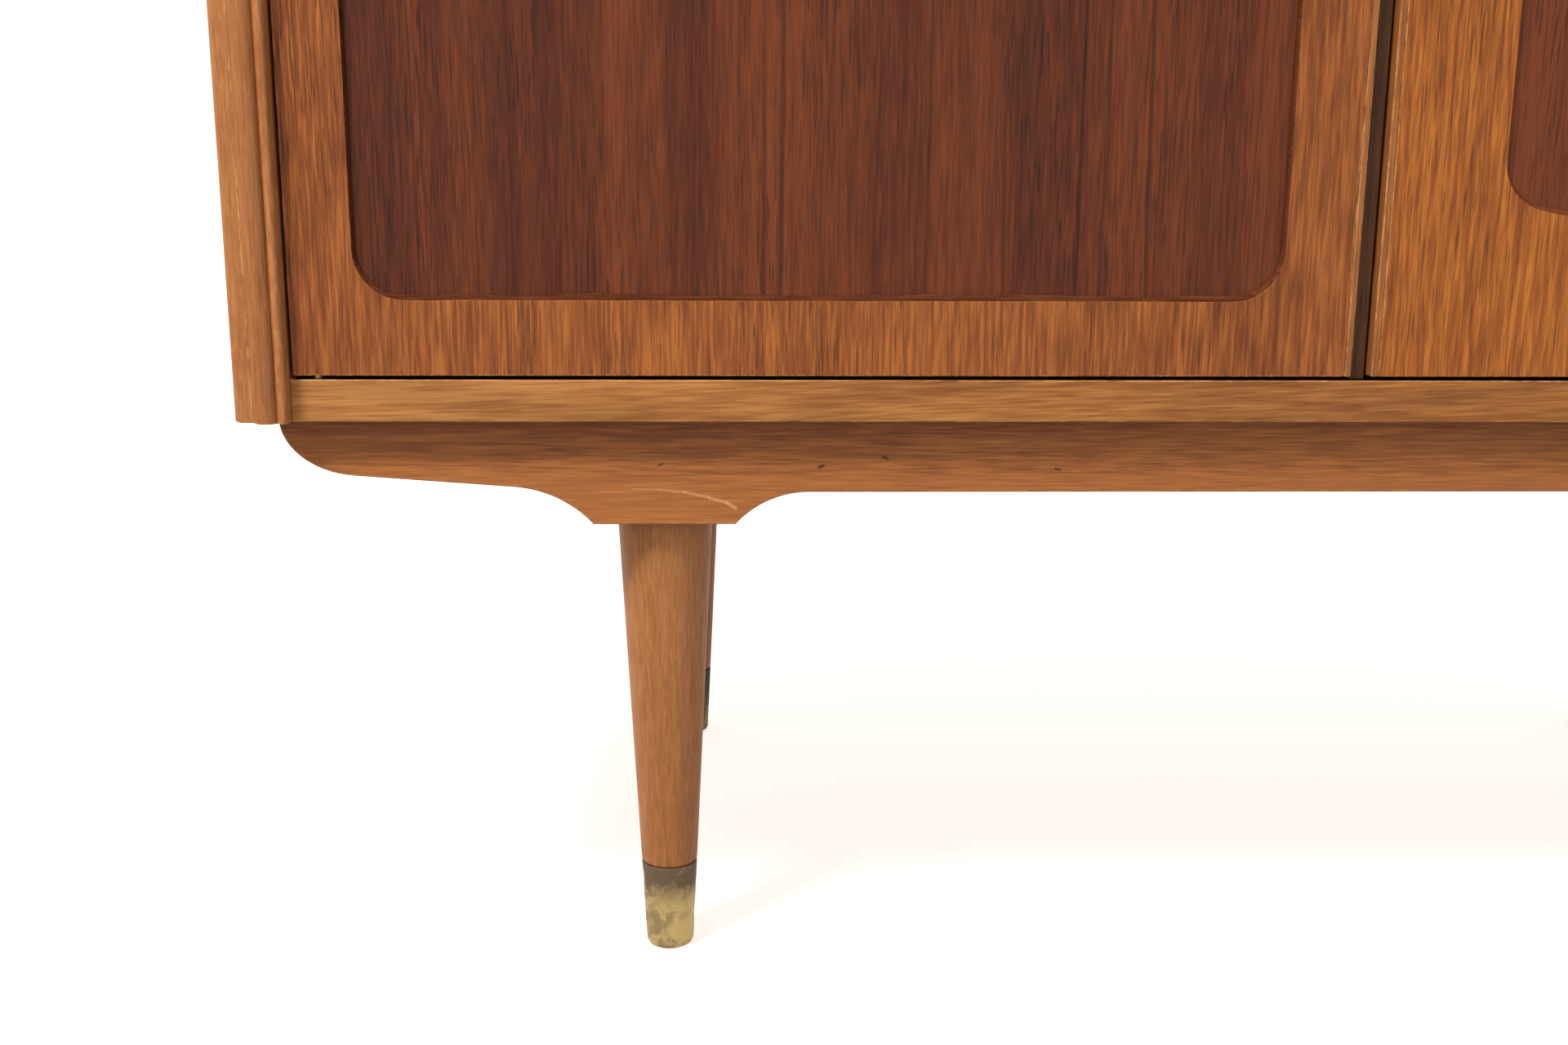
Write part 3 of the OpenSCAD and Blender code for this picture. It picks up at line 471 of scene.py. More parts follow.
def skin(bm, rings, closed=False, caps=True, worn=None):
    """Quads through rings of equal length. worn(row, index) is a face's share of wear."""
    layer = bm.faces.layers.float.get("wear") or bm.faces.layers.float.new("wear")
    rows = [[bm.verts.new(p) for p in ring] for ring in rings]
    if closed:
        rows.append(rows[0])
    for k, (a, b) in enumerate(zip(rows, rows[1:])):
        for i in range(len(a)):
            j = (i + 1) % len(a)
            face = bm.faces.new((a[i], a[j], b[j], b[i]))
            if worn:
                face[layer] = worn(k, i)
    if caps and not closed:
        bm.faces.new(rows[0][::-1])
        bm.faces.new(rows[-1])
    return rows


def prism(bm, outline, put, low, high, ease=0.0, worn=None, stations=()):
    """A solid with the same outline from low to high, both ends eased. put(u, v, w) gives a point."""
    ends = eased(ease) if ease else [(0.0, 0.0)]
    rings = [(low + w, inset) for w, inset in ends] + [(w, 0.0) for w in stations]
    rings += [(high - w, inset) for w, inset in reversed(ends)]
    first, last = len(ends) - 1, len(rings) - len(ends)
    made = []
    for w, inset in rings:
        line = inward(outline, inset) if inset > 1e-9 else outline
        made.append([put(u, v, w) for u, v in line])

    def share(row, index):
        if row < first or row >= last:
            return 1.0
        return worn[index] if worn else 0.0

    skin(bm, made, worn=share)


def lathe(bm, profile, centre, axis=Z, steps=64, shape=None):
    """Turns (radius, along) points about an axis through centre. shape(angle, along) adds to the radius."""
    rings = []
    for radius, along in profile:
        ring = []
        for k in range(steps):
            angle = FULL * k / steps
            r = max(radius + (shape(angle, along) if shape and radius > 1e-6 else 0.0), 1e-7)
            a, b = r * cos(angle), r * sin(angle)
            ring.append(Vector(centre) + Vector((a, b, along) if axis == Z else (a, along, b)))
        rings.append(ring)
    skin(bm, rings, caps=False)


def rod(bm, r, low, high, centre, axis, steps):
    lathe(bm, [(0.0, low), (r, low), (r, high), (0.0, high)], centre, axis, steps)


def block(bm, low, high, ease):
    """A board with every edge eased, and worn there."""
    x, _, z = middle((low, high))
    outline = rounded(high[X] - low[X], high[Z] - low[Z], ease, ROUND_STEPS)
    worn = [0.0 if i % (ROUND_STEPS + 1) == ROUND_STEPS else 1.0 for i in range(len(outline))]
    prism(bm, outline, lambda u, v, w: (x + u, w, z + v), low[Y], high[Y], ease, worn)


def spin(bm, verts, degrees, centre):
    """Turns points clockwise, as seen from the front, about an axis through centre."""
    bmesh.ops.rotate(bm, cent=centre, matrix=Matrix.Rotation(radians(degrees), 3, "Y"), verts=verts)


def shade(obj, flat):
    """Smooth where the surface bends by less than flat degrees."""
    obj.data.polygons.foreach_set("use_smooth", [True] * len(obj.data.polygons))
    obj.data.set_sharp_from_angle(angle=radians(flat))
    obj.modifiers.new("weighted_normals", "WEIGHTED_NORMAL").keep_sharp = True


def as_mesh(name, bm, clean=True):
    """A mesh from the points and faces, with joined points and outward faces."""
    if clean:
        bmesh.ops.remove_doubles(bm, verts=bm.verts, dist=SAME_POINT)
        bmesh.ops.recalc_face_normals(bm, faces=bm.faces)
    mesh = bpy.data.meshes.new(name)
    bm.to_mesh(mesh)
    bm.free()
    return mesh


def finish(name, bm, material, slot, *nodes, body="cabinet", flat=32.0):
    """Makes the piece from its points and faces, smooth where it bends gently."""
    mesh = as_mesh(name, bm)
    mesh.materials.append(material)
    obj = add_object(name, mesh)
    shade(obj, flat)
    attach(obj, body)
    if nodes:
        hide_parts(*nodes)
    return obj


def turned(name, profile, centre, axis, steps, material, slot, *nodes, body="cabinet", flat=40, shape=None):
    """A finished piece that is turned about an axis."""
    bm = bmesh.new()
    lathe(bm, profile, centre, axis, steps, shape)
    finish(name, bm, material, slot, *nodes, body=body, flat=flat)


def dress(node, material, ease, edge):
    """Gives a CAD node its material, with eased edges that take the edge material."""
    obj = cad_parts[node]
    obj.data.materials.clear()
    obj.data.materials.append(material)
    if edge:
        obj.data.materials.append(edge)
    obj.modifiers.new("weld", "WELD").merge_threshold = SAME_POINT
    if ease:
        merge = obj.modifiers.new("merge", "DECIMATE")
        merge.decimate_type, merge.angle_limit = "DISSOLVE", radians(0.5)
        bevel = obj.modifiers.new("bevel", "BEVEL")
        bevel.width, bevel.segments, bevel.limit_method = ease, 2, "ANGLE"
        bevel.angle_limit = radians(40)
        bevel.material = 1 if edge else -1
        obj.modifiers.new("weighted_normals", "WEIGHTED_NORMAL").keep_sharp = False


# ---- side mouldings

CORNER_R, CORNER_Y = 5 * MM, 5.2 * MM
MAIN_R, MAIN_X = 6 * MM, 15.2 * MM
BEAD_R, BEAD_Y = 2.1 * MM, 2.6 * MM
MOULDING_EASE, MOULDING_RUB = 0.8 * MM, 0.12 * MM


def side_moulding(node, side):
    """Outer band, ridge, half round and bead, run from top to bottom. side is -1 at the left."""
    low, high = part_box(node)
    width, depth = high.x - low.x, high.y - low.y
    outer = low.x if side < 0 else high.x
    pieces = [
        ([(0.0, depth)], 0.0),
        (arc(CORNER_R, CORNER_Y + CORNER_R, CORNER_R, 180, 270, 10), 0.25),
        (at(0.0, (8.5, 4.75), (9, 4.4), (9.25, 4.5)), 1.0),
        (arc(MAIN_X, MAIN_R, MAIN_R, 196, 328.2, 22), 0.12),
        (arc(width - BEAD_R, BEAD_Y, BEAD_R, 180, 360, 14), 0.4),
        ([(width, depth)], 0.0),
    ]
    outline, worn = [], []
    for points, share in pieces:
        outline += points
        worn += [share] * len(points)
    if side > 0:
        outline, worn = [(-u, v) for u, v in reversed(outline)], worn[-2::-1] + worn[-1:]

    def put(u, v, w):
        rub = MOULDING_RUB * max(0.0, ridge(w, 3.0 + 400 * abs(u)))
        return (outer + u, low.y + v + (rub if v < 0.6 * depth else 0.0), w)

    bm = bmesh.new()
    stations = np.linspace(low.z + 4 * MM, high.z - 4 * MM, 90)
    prism(bm, outline, put, low.z, high.z, MOULDING_EASE, worn, stations)
    finish(node + "_turned", bm, MOULDING, "solid_teak", node)


side_moulding("left_side_moulding", -1)
side_moulding("right_side_moulding", 1)

# ---- base rails

BOW_W, BOW_H, BOW_END = 36 * MM, 26.5 * MM, 84
COVE_RISE, COVE_A0, COVE_A1 = 17.4 * MM, 4, 48
ARCH_A, RAIL_MID_H, PAD_L = 48, 34 * MM, 65 * MM
CURVE_STEPS, RAIL_EASE, RAIL_WEAR = 22, 0.9 * MM, 0.15

rail_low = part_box("front_base_rail")[0]
pad_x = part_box("leg_blocks")[0].x


def rail_outline(low, high, pad_low, pad_high):
    """The boat shape: a bowed end, a cove down to the pad over each leg, and an arch between the pads."""
    top, foot = high.z, low.z
    a0, a1, a2 = radians(COVE_A0), radians(COVE_A1), radians(ARCH_A)
    cove_r = COVE_RISE / (cos(a0) - cos(a1))
    cove_x = pad_low - cove_r * (sin(a1) - sin(a0))
    arch_r = (top - foot - RAIL_MID_H) / (1 - cos(a2))
    bow, cove, arch = [], [], []
    for i in range(CURVE_STEPS + 1):
        a = radians(BOW_END * i / CURVE_STEPS)
        bow.append((low.x + BOW_W * (1 - cos(a)), top - BOW_H * sin(a)))
        a = radians(COVE_A0 + (COVE_A1 - COVE_A0) * i / CURVE_STEPS)
        u, v = cove_r * (sin(a) - sin(a0)), cove_r * (cos(a0) - cos(a))
        cove.append((cove_x + u, foot + COVE_RISE - v))
        a = radians(ARCH_A * (1 - i / CURVE_STEPS))
        arch.append((pad_high + arch_r * (sin(a2) - sin(a)), top - RAIL_MID_H - arch_r * (1 - cos(a))))
    half = bow + cove + arch
    return half + [(-u, v) for u, v in reversed(half)]


def base_rail(node, material):
    low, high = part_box(node)
    outline = rail_outline(low, high, pad_x, pad_x + PAD_L)
    bm = bmesh.new()
    worn = [RAIL_WEAR] * len(outline)
    prism(bm, outline, lambda u, v, w: (u, w, v), low.y, high.y, RAIL_EASE, worn)
    finish(node + "_shaped", bm, material, "solid_teak", node)


# Places on the rail's front, in mm from the foot of the left pad's left end
SCRATCH_PATH = ((18, 16.6), (30, 16.4), (42, 15.2), (53, 12.6), (61, 10.2), (65, 7.6))
NICKS = (
    ((30, 27.5), (32, 28.2), 0.9, 0.7), ((103, 26.5), (105, 27.5), 1.0, 0.9),
    ((132, 31.5), (134, 30.6), 1.0, 0.9), ((211, 25.8), (213, 25.6), 0.8, 0.9),
)
# NICK and SCRATCH are real marks; the third colour is painted light, for the rail's foot lit below the shadow
# of the case's overhang.
NICK, SCRATCH, PAINTED_LIT_TONE = (58, 34, 26), (214, 164, 108), (166, 102, 54)


def on_pad(point):
    return pad_x + point[0] * MM, rail_low.z + point[1] * MM


marks = [
    (on_pad(a), on_pad(b), (0.8 + 0.1 * k) * MM, SCRATCH, 0.22 + 0.07 * k)
    for k, (a, b) in enumerate(zip(SCRATCH_PATH, SCRATCH_PATH[1:]))
]
marks += [(on_pad(a), on_pad(b), width * MM, NICK, strength) for a, b, width, strength in NICKS]
# The front rail's lighter band below 22 mm is painted light: lit below the shadow cast by the case's
# overhang.
base_rail("front_base_rail", wood(
    "base_rail_wood", X, (118, 67, 36), (170, 106, 54), seed=12.2, streak=1.6, band=1.6, pores=0.35,
    fade=(rail_low.z + 22 * MM, rail_low.z + 24.5 * MM, 0.36, PAINTED_LIT_TONE), marks=marks,
))
base_rail("rear_base_rail", wood(
    "rear_rail_wood", X, (109, 60, 33), (161, 97, 51), seed=13.4, streak=1.6, band=1.6, pores=0.35,
))

# ---- legs and ferrules

LEG_TOP_R, LEG_FOOT_R, TENON_R = 22.5 * MM, 11.5 * MM, 8 * MM
FERRULE_WALL = 1 * MM
leg_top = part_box("leg_blocks")[0].z


def leg_r(z, less=0.0):
    """The leg's radius at a height, less a few mm."""
    return LEG_FOOT_R + (LEG_TOP_R - LEG_FOOT_R) * z / leg_top - less * MM


def leg(name, brass):
    """A tapered leg with a groove over its ferrule, and the ferrule: both very slightly out of round."""
    low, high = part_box(name + "_ferrule")
    wood_low, wood_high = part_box(name + "_leg")
    x, y, _ = middle((low, high))
    seed = x * 7 + y * 13
    joint = high.z

    def oval(angle, along):
        return 0.10 * MM * sin(2 * angle + seed) + 0.05 * MM * sin(3 * angle + along * 25)

    def dented(angle, along):
        return -0.35 * MM * max(0.0, sin(3 * angle + seed * 5) * sin(along * 160 + seed)) ** 3

    profile = [
        (0.0, wood_low.z), (leg_r(wood_low.z, 1.2), wood_low.z), (leg_r(joint, 1.2), joint - 0.2 * MM),
        (leg_r(joint, 1.5), joint), (leg_r(joint, 1.5), joint + 0.7 * MM),
        (leg_r(joint, 0.4), joint + 0.9 * MM),
    ]
    profile += [(leg_r(z, 0.12), z) for z in np.linspace(joint + 1.3 * MM, leg_top - 1.6 * MM, 34)]
    profile += [(leg_r(leg_top, 0.5), leg_top - 0.8 * MM), (leg_r(leg_top, 1.5), leg_top - 0.25 * MM)]
    profile += [(TENON_R, leg_top - 0.25 * MM), (TENON_R, wood_high.z), (0.0, wood_high.z)]
    turned(
        name + "_leg_turned", profile, (x, y, 0.0), Z, 72, LEG, "solid_teak", name + "_leg",
        flat=50, shape=oval,
    )
    profile = at(low.z, (0, 0), (7.5, 0), (9.5, 0.3)) + [(leg_r(2 * MM, 0.6), low.z + 1.2 * MM)]
    profile += [(leg_r(z), z) for z in np.linspace(low.z + 2.6 * MM, joint - 1.2 * MM, 26)]
    profile += [
        (leg_r(joint, 0.1), joint - 0.4 * MM), (leg_r(joint, 0.45), joint),
        (leg_r(joint) - FERRULE_WALL, joint - 0.1 * MM),
        (leg_r(2 * MM) - FERRULE_WALL, low.z + 2 * MM), (0.0, low.z + 2 * MM),
    ]
    turned(
        name + "_ferrule_spun", profile, (x, y, 0.0), Z, 96, brass, "aged_brass", name + "_ferrule",
        flat=50, shape=dented,
    )


for name in ("front_left", "front_right"):
    leg(name, FERRULE)
# The rear legs take the darker ferrule brass: painted shade under the cabinet.
for name in ("rear_left", "rear_right"):
    leg(name, SHADED_REAR_FERRULE)

# ---- doors

RECESS_D, INSET_T, RECESS_STEP = 3 * MM, 3 * MM, 6 * MM
RECESS_WIDE, RECESS_NARROW, RECESS_WAVE, RECESS_WEAR = 2.7 * MM, 0.9 * MM, 0.38, 0.35
BOW_R, INSET_R, DOOR_EASE = 760 * MM, 22 * MM, 0.7 * MM
BUSH_R, BUSH_H, STUD_R, CUT_PAST = 3.55 * MM, 10 * MM, 2.55 * MM, 1 * MM
PIVOT_IN_X, PIVOT_IN_Y = 10 * MM, 5 * MM
# The recess's wall from the face to the inset panel: share of its width, share of its depth
WALL = ((0.0, 0.0), (0.06, 0.06), (0.22, 0.14), (0.55, 0.26), (0.82, 0.42), (0.94, 0.66), (1.0, 1.0))


def bowed(width, height, r, bow, n=10):
    """A rounded rectangle with bowed top and bottom, whose height is measured at its middle."""
    w = width / 2 - r
    centre = height / 2 - bow
    drop = math.sqrt((bow - r) ** 2 - w ** 2)
    lean = math.degrees(math.asin(w / (bow - r)))
    low_right = arc(w, -(centre + drop), r, -90 + lean, 0, n)
    high_right = arc(w, centre + drop, r, 0, 90 - lean, n)
    top = arc(0, centre, bow, 90 - lean, 90 + lean, 4 * n)[1:-1]
    high_left = arc(-w, centre + drop, r, 90 + lean, 180, n)
    low_left = arc(-w, -(centre + drop), r, 180, 270 - lean, n)
    bottom = arc(0, -centre, bow, 270 - lean, 270 + lean, 4 * n)[1:-1]
    return low_right + high_right + top + high_left + low_left + bottom


def corner_marks(points):
    """Where the outline passes the middle of each corner, from the lower right one anticlockwise."""
    corners = ((1, -1), (1, 1), (-1, 1), (-1, -1))
    reach = [[sx * u + sz * v for u, v in points] for sx, sz in corners]
    return [row.index(max(row)) for row in reach]


def subdivided(points, step):
    """The same closed outline with no stretch longer than step."""
    made = []
    for i, a in enumerate(points):
        b = points[(i + 1) % len(points)]
        count = max(1, math.ceil(math.dist(a, b) / step))
        made += [(a[0] + (b[0] - a[0]) * k / count, a[1] + (b[1] - a[1]) * k / count) for k in range(count)]
    return made


def recess_edge(outline, seed):
    """The inner line of the recess's hand-cut wall: wide at top and bottom, narrow at the sides, and wavy."""
    made, run = [], 0.0
    for i, (point, far) in enumerate(zip(outline, inward(outline, 1.0))):
        run += math.dist(point, outline[i - 1])
        way = Vector((far[0] - point[0], far[1] - point[1])).normalized()
        width = RECESS_NARROW + (RECESS_WIDE - RECESS_NARROW) * abs(way.y) ** 1.3
        width *= 1 + RECESS_WAVE * ridge(run, seed)
        made.append((point[0] + way.x * width, point[1] + way.y * width))
    return made


def stretch(ring, a, b):
    """The part of a closed ring from item a to item b, both included."""
    return [ring[i % len(ring)] for i in range(a, b + 1 if b > a else b + 1 + len(ring))]


def carve(obj, bm):
    """Cuts a mesh out of a piece."""
    cutter = add_object("cutter", as_mesh("cutter", bm))
    cut = obj.modifiers.new("cut", "BOOLEAN")
    cut.operation, cut.solver, cut.object = "DIFFERENCE", "FAST", cutter
    bpy.context.view_layer.update()
    made = bpy.data.meshes.new_from_object(obj.evaluated_get(bpy.context.evaluated_depsgraph_get()))
    obj.modifiers.remove(cut)
    obj.data = made
    bpy.data.objects.remove(cutter)


def door_board(low, high, place, inner, centre):
    """The board's mesh: the recess from the face back, the outside, and the face between them."""
    face_y = low.y
    bm = bmesh.new()
    rings = []
    for across, deep in WALL:
        line = [(a[0] + (b[0] - a[0]) * across, a[1] + (b[1] - a[1]) * across) for a, b in zip(place, inner)]
        rings.append([(u, face_y + RECESS_D * deep, v) for u, v in line])
    rings.append([(u, face_y + RECESS_D + INSET_T, v) for u, v in inner])
    rows = skin(bm, rings, caps=False, worn=lambda row, i: 0.0 if row else RECESS_WEAR)
    bm.faces.new(rows[-1])
    for k, face in enumerate(bm.faces):
        face.material_index = 0 if k < len(place) else 1

    n = ROUND_STEPS
    x, _, z = middle((low, high))
    border = [(u + x, v + z) for u, v in rounded(high.x - low.x, high.z - low.z, DOOR_EASE, n)]
    levels = [(face_y + w, inset) for w, inset in eased(DOOR_EASE)]
    levels += [(high.y - w + face_y, inset) for w, inset in reversed(levels)]
    outside = []
    for w, inset in levels:
        line = inward(border, inset) if inset > 1e-9 else border
        outside.append([(u, w, v) for u, v in line])
    back = len(outside) - 1 - n

    def rubbed(row, i):
        return 1.0 if row < n or row >= back or i % (n + 1) != n else 0.0

    sides = skin(bm, outside, caps=False, worn=rubbed)
    bm.faces.new(sides[-1])

    turns = [k * (n + 1) + 1 for k in range(4)]
    marks = corner_marks([(p.co.x - centre[X], p.co.z - centre[Z]) for p in rows[0]])
    for k in range(4):
        outer = stretch(sides[0], turns[k], turns[(k + 1) % 4])
        hole = stretch(rows[0], marks[k], marks[(k + 1) % 4])
        bm.faces.new(outer + hole[::-1])
    return bm


def door(side, outline, material, slot, seed):
    """One door: board with its recess and bores, and inset panel. side is left or right."""
    body, panel = side + "_door", side + "_door_panel"
    low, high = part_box(panel)
    centre = middle(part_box(side + "_door_inset"))
    place = [(u + centre[X], v + centre[Z]) for u, v in subdivided(outline, RECESS_STEP)]
    inner = recess_edge(place, seed)
    bm = door_board(low, high, place, inner, centre)
    board = finish(side + "_door_board", bm, material, slot, panel, body=body)
    board.data.materials.append(CUT)

    bores = bmesh.new()
    hinge_x = low.x + PIVOT_IN_X if side == "left" else high.x - PIVOT_IN_X
    pivot = (hinge_x, low.y + PIVOT_IN_Y, 0.0)
    rod(bores, BUSH_R, low.z - CUT_PAST, low.z + BUSH_H, pivot, Z, 32)
    rod(bores, BUSH_R, high.z - BUSH_H, high.z + CUT_PAST, pivot, Z, 32)
    x, _, z = middle(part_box(side + "_door_pull"))
    rod(bores, STUD_R, low.y - CUT_PAST, high.y + CUT_PAST, (x, 0.0, z), Y, 24)
    carve(board, bores)

    bm = bmesh.new()
    front = low.y + RECESS_D
    line = inward(inner, 0.03 * MM)
    prism(bm, line, lambda u, v, w: (u, w, v), front, front + INSET_T - 0.02 * MM)
    finish(side + "_door_veneer", bm, DARK, "dark_teak", side + "_door_inset", body=body)


def inset_size(side):
    low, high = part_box(side + "_door_inset")
    size = high - low
    return size.x, size.z


door("left", rounded(*inset_size("left"), INSET_R), LIGHT, "light_teak", 1.0)
door("right", bowed(*inset_size("right"), INSET_R, BOW_R), ORANGE, "orange_teak", 2.0)

# ---- pulls and knobs

PULL_R, KNOB_L, FLUTES = 9 * MM, 17 * MM, 24
POINTER_AT = {"channel": 0.0, "volume": -135.0, "brightness": 0.0}


def pull(side):
    """A turned brass knob on a stud through the door."""
    low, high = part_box(side + "_door_pull")
    x, _, z = middle((low, high))
    face_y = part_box(side + "_door_panel")[0].y
    profile = [(0.0, high.y), (2.5 * MM, high.y)]
    profile += at(
        face_y, (2.5, -0.02), (6.6, -0.02), (7, -0.5), (7, -1.4), (6.4, -2), (5.2, -2.8), (4.5, -4.4),
    )
    profile += [(r, low.y + PULL_R - y) for r, y in arc(0.0, 0.0, PULL_R, -38, 86, 16)]
    profile += [(0.0, low.y + 0.05 * MM)]
    turned(
        side + "_door_pull_turned", profile, (x, 0.0, z), Y, 64, BRASS, "aged_brass",
        side + "_door_pull", body=side + "_door",
    )


def knob(name, pointer):
    """A fluted knob with a brass cap and an inlaid pointer. pointer is its angle from upright at rest."""
    body = name + "_knob"
    low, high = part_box(body)
    x, _, z = middle((low, high))
    centre = (x, 0.0, z)
    front, back = low.y, low.y + KNOB_L

    def flute(angle, along):
        """Flutes run from the skirt to the crown and fade out at both."""
        t = (along - front) / (back - front)
        depth = 0.55 * MM * max(0.0, min(1.0, (t - 0.08) / 0.1, (0.74 - t) / 0.06))
        return -depth * (0.5 + 0.5 * cos(FLUTES * angle)) ** 0.7

    profile = at(front, (0, 1.2), (8.6, 1.2), (9.2, 0.4), (10, 0), (12, 0.3), (12.8, 1.2))
    profile += at(front, *((12.9 + 0.5 * t, 1.6 + 10.6 * t) for t in np.linspace(0, 1, 18)))
    profile += at(front, (14.4, 13.2), (15, 13.8)) + at(back, (15, -0.8), (14.4, 0), (3, 0))
    profile += at(high.y, (3, -0.4), (2.6, 0), (0, 0))
    turned(
        body + "_fluted", profile, centre, Y, 8 * FLUTES, CREAM, "cream_plastic", body, body=body,
        shape=flute,
    )
    profile = at(front, (0, 1.3), (8.4, 1.3), (8.4, 0.9))
    profile += at(front, *((8 * cos(a), 0.85 - 0.55 * sin(a)) for a in np.linspace(0, QUARTER, 10)))
    turned(body + "_cap", profile, centre, Y, 64, BRASS, "aged_brass", body=body)
    bm = bmesh.new()
    block(bm, (x - 0.5 * MM, front, z + 9.9 * MM), (x + 0.5 * MM, front + 1 * MM, z + 12.4 * MM), 0.2 * MM)
    spin(bm, bm.verts, pointer, centre)
    finish(body + "_pointer", bm, BLACK_PLASTIC, "black_plastic", body=body)


for side in ("left", "right"):
    pull(side)
for name, pointer in POINTER_AT.items():
    knob(name, pointer)

# ---- dials

TICK_HALF, TICK_FROM, TICK_TO, LONG_TICK_TO = 0.5 * MM, 18 * MM, 21 * MM, 23 * MM
TICK_PROUD, TICK_SUNK, TICK_EASE = 0.4 * MM, 0.1 * MM, 0.15 * MM
baffle_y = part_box("screen_baffle")[0].y


def dial(name, node, ticks, start, step):
    """Raised brass marks on the baffle round a knob, the first at start degrees from upright."""
    x, _, z = middle(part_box(node))
    bm = bmesh.new()
    for k in range(ticks):
        done, end = len(bm.verts), TICK_TO if k % 3 else LONG_TICK_TO
        low = (-TICK_HALF, baffle_y - TICK_PROUD, TICK_FROM)
        block(bm, low, (TICK_HALF, baffle_y + TICK_SUNK, end), TICK_EASE)
        tick = list(bm.verts)[done:]
        spin(bm, tick, start + step * k, (0, 0, 0))
        bmesh.ops.translate(bm, vec=(x, 0, z), verts=tick)
    finish(name, bm, BRASS, "aged_brass")


dial("volume_dial", "volume_knob", 10, -135, 30)
dial("brightness_dial", "brightness_knob", 10, -135, 30)
dial("channel_dial", "channel_knob", 12, 0, 30)

# ---- screen

MASK_R, MASK_RIM, MASK_MIN_R = 46 * MM, 15 * MM, 8 * MM
TUBE_CORNER_R, TUBE_RIM_D, BULGE, FACE_SHARE = 50 * MM, 30 * MM, 10 * MM, 0.955
FUNNEL_R, TUBE_BASE_L = 24 * MM, 15 * MM
SCREEN_ARC = 14

mask_low, mask_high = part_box("screen_mask")
screen_x, _, screen_z = middle((mask_low, mask_high))
tube_low, tube_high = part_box("picture_tube")
tube_w, tube_h = tube_high.x - tube_low.x, tube_high.z - tube_low.z


def on_screen(outline, y):
    """An outline about the screen's centre, at depth y."""
    return [(u + screen_x, y, v + screen_z) for u, v in outline]


def towards_round(outline, r, share):
    """An outline part of the way to a circle of radius r."""
    made = []
    for u, v in outline:
        angle = math.atan2(v, u)
        x, y = r * cos(angle), r * sin(angle)
        made.append((u * (1 - share) + x * share, v * (1 - share) + y * share))
    return made


def mask_ring(inset, y):
    """The mask's outline moved inwards, at depth y."""
    width, height = mask_high.x - mask_low.x, mask_high.z - mask_low.z
    r = max(MASK_R + MASK_RIM - inset, MASK_MIN_R)
    return on_screen(rounded(width - 2 * inset, height - 2 * inset, r, SCREEN_ARC), y)


front, pane = mask_low.y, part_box("safety_glass")[0].y
section = [(0.0, mask_high.y)] + at(front, (0, 2.4), (0.4, 1.1), (1.4, 0.3), (3, 0), (7, 0.2), (10, 0.9))
section += at(front, (14, 2.2), (20, 4.2), (26, 5.6)) + at(pane, (28, -0.5), (29, -0.05), (15, -0.02))
section += [(MASK_RIM, mask_high.y)]
bm = bmesh.new()
skin(bm, [mask_ring(inset, y) for inset, y in section], closed=True)
finish("screen_mask_moulded", bm, CREAM, "cream_plastic", "screen_mask", flat=50)

rings = []
for t in np.linspace(0.02, 1.0, 18):
    r = max(TUBE_CORNER_R * t, 1 * MM) * FACE_SHARE
    outline = rounded(tube_w * t * FACE_SHARE, tube_h * t * FACE_SHARE, r, SCREEN_ARC)
    rings.append(on_screen(outline, tube_low.y - BULGE * (1 - t ** 2.2)))
for inset, y in at(tube_low.y, (3.5, 1.5), (1.2, 5), (0, 12), (0, 26), (2, 30)):
    outline = rounded(tube_w - 2 * inset, tube_h - 2 * inset, TUBE_CORNER_R - inset, SCREEN_ARC)
    rings.append(on_screen(outline, y))
rim_y, funnel_y = tube_low.y + TUBE_RIM_D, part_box("deflection_coil")[0].y - 1 * MM
for t in np.linspace(0.08, 1.0, 14):
    rings.append(on_screen(towards_round(outline, FUNNEL_R, t ** 0.86), rim_y + (funnel_y - rim_y) * t))
neck_end = tube_high.y - TUBE_BASE_L
for r, y in at(funnel_y, (18.4, 2), (18, 5)) + at(neck_end, (18, -2), (16.5, 0)):
    rings.append(on_screen(towards_round(outline, r, 1.0), y))
bm = bmesh.new()
skin(bm, rings)
finish("picture_tube_blown", bm, TUBE, "tube_glass", "picture_tube", flat=60)
profile = at(neck_end, (0, 0), (15, 0)) + at(tube_high.y, (15, -1.5), (13.5, 0), (0, 0))
turned("picture_tube_base", profile, (screen_x, 0, screen_z), Y, 48, BLACK_PLASTIC, "black_plastic")

# ---- loudspeaker

PAPER_T, ROLL_W, ROLL_H, ROLLS, CAP_R, CAP_H = 0.8 * MM, 12 * MM, 1.1 * MM, 3, 14 * MM, 7 * MM
CLOTH_CELLS, CLOTH_SAG, CLOTH_RIPPLE = 96, 0.35 * MM, 0.05 * MM
TRIM_H = 1.8 * MM

cone_low, cone_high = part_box("loudspeaker_cone")
speaker_x, _, speaker_z = middle((cone_low, cone_high))
cone_r, cone_d, cone_y = (cone_high.x - cone_low.x) / 2, cone_high.y - cone_low.y, cone_low.y
profile = [(cone_r, cone_y + 0.1 * MM)]
for t in np.linspace(0, 1, 37):
    roll = ROLL_H * sin(t * FULL * ROLLS) * (1 - 0.3 * t)
    profile.append((cone_r - 2 * MM - ROLL_W * t, cone_y + 0.6 * MM + roll))
for t in np.linspace(0.02, 1, 20):
    r = cone_r - 16 * MM - (cone_r - 30 * MM) * t
    profile.append((r, cone_y + 1 * MM + (cone_d - 3 * MM) * t ** 1.15))
for a in np.linspace(0, QUARTER, 12):
    profile.append((CAP_R * cos(a), cone_y + cone_d - 2 * MM - CAP_H * sin(a)))
profile += [(r, y + PAPER_T) for r, y in reversed(profile)]
turned(
    "loudspeaker_cone_pressed", profile, (speaker_x, 0.0, speaker_z), Y, 96, PAPER, "paper_cone",
    "loudspeaker_cone", flat=60,
)

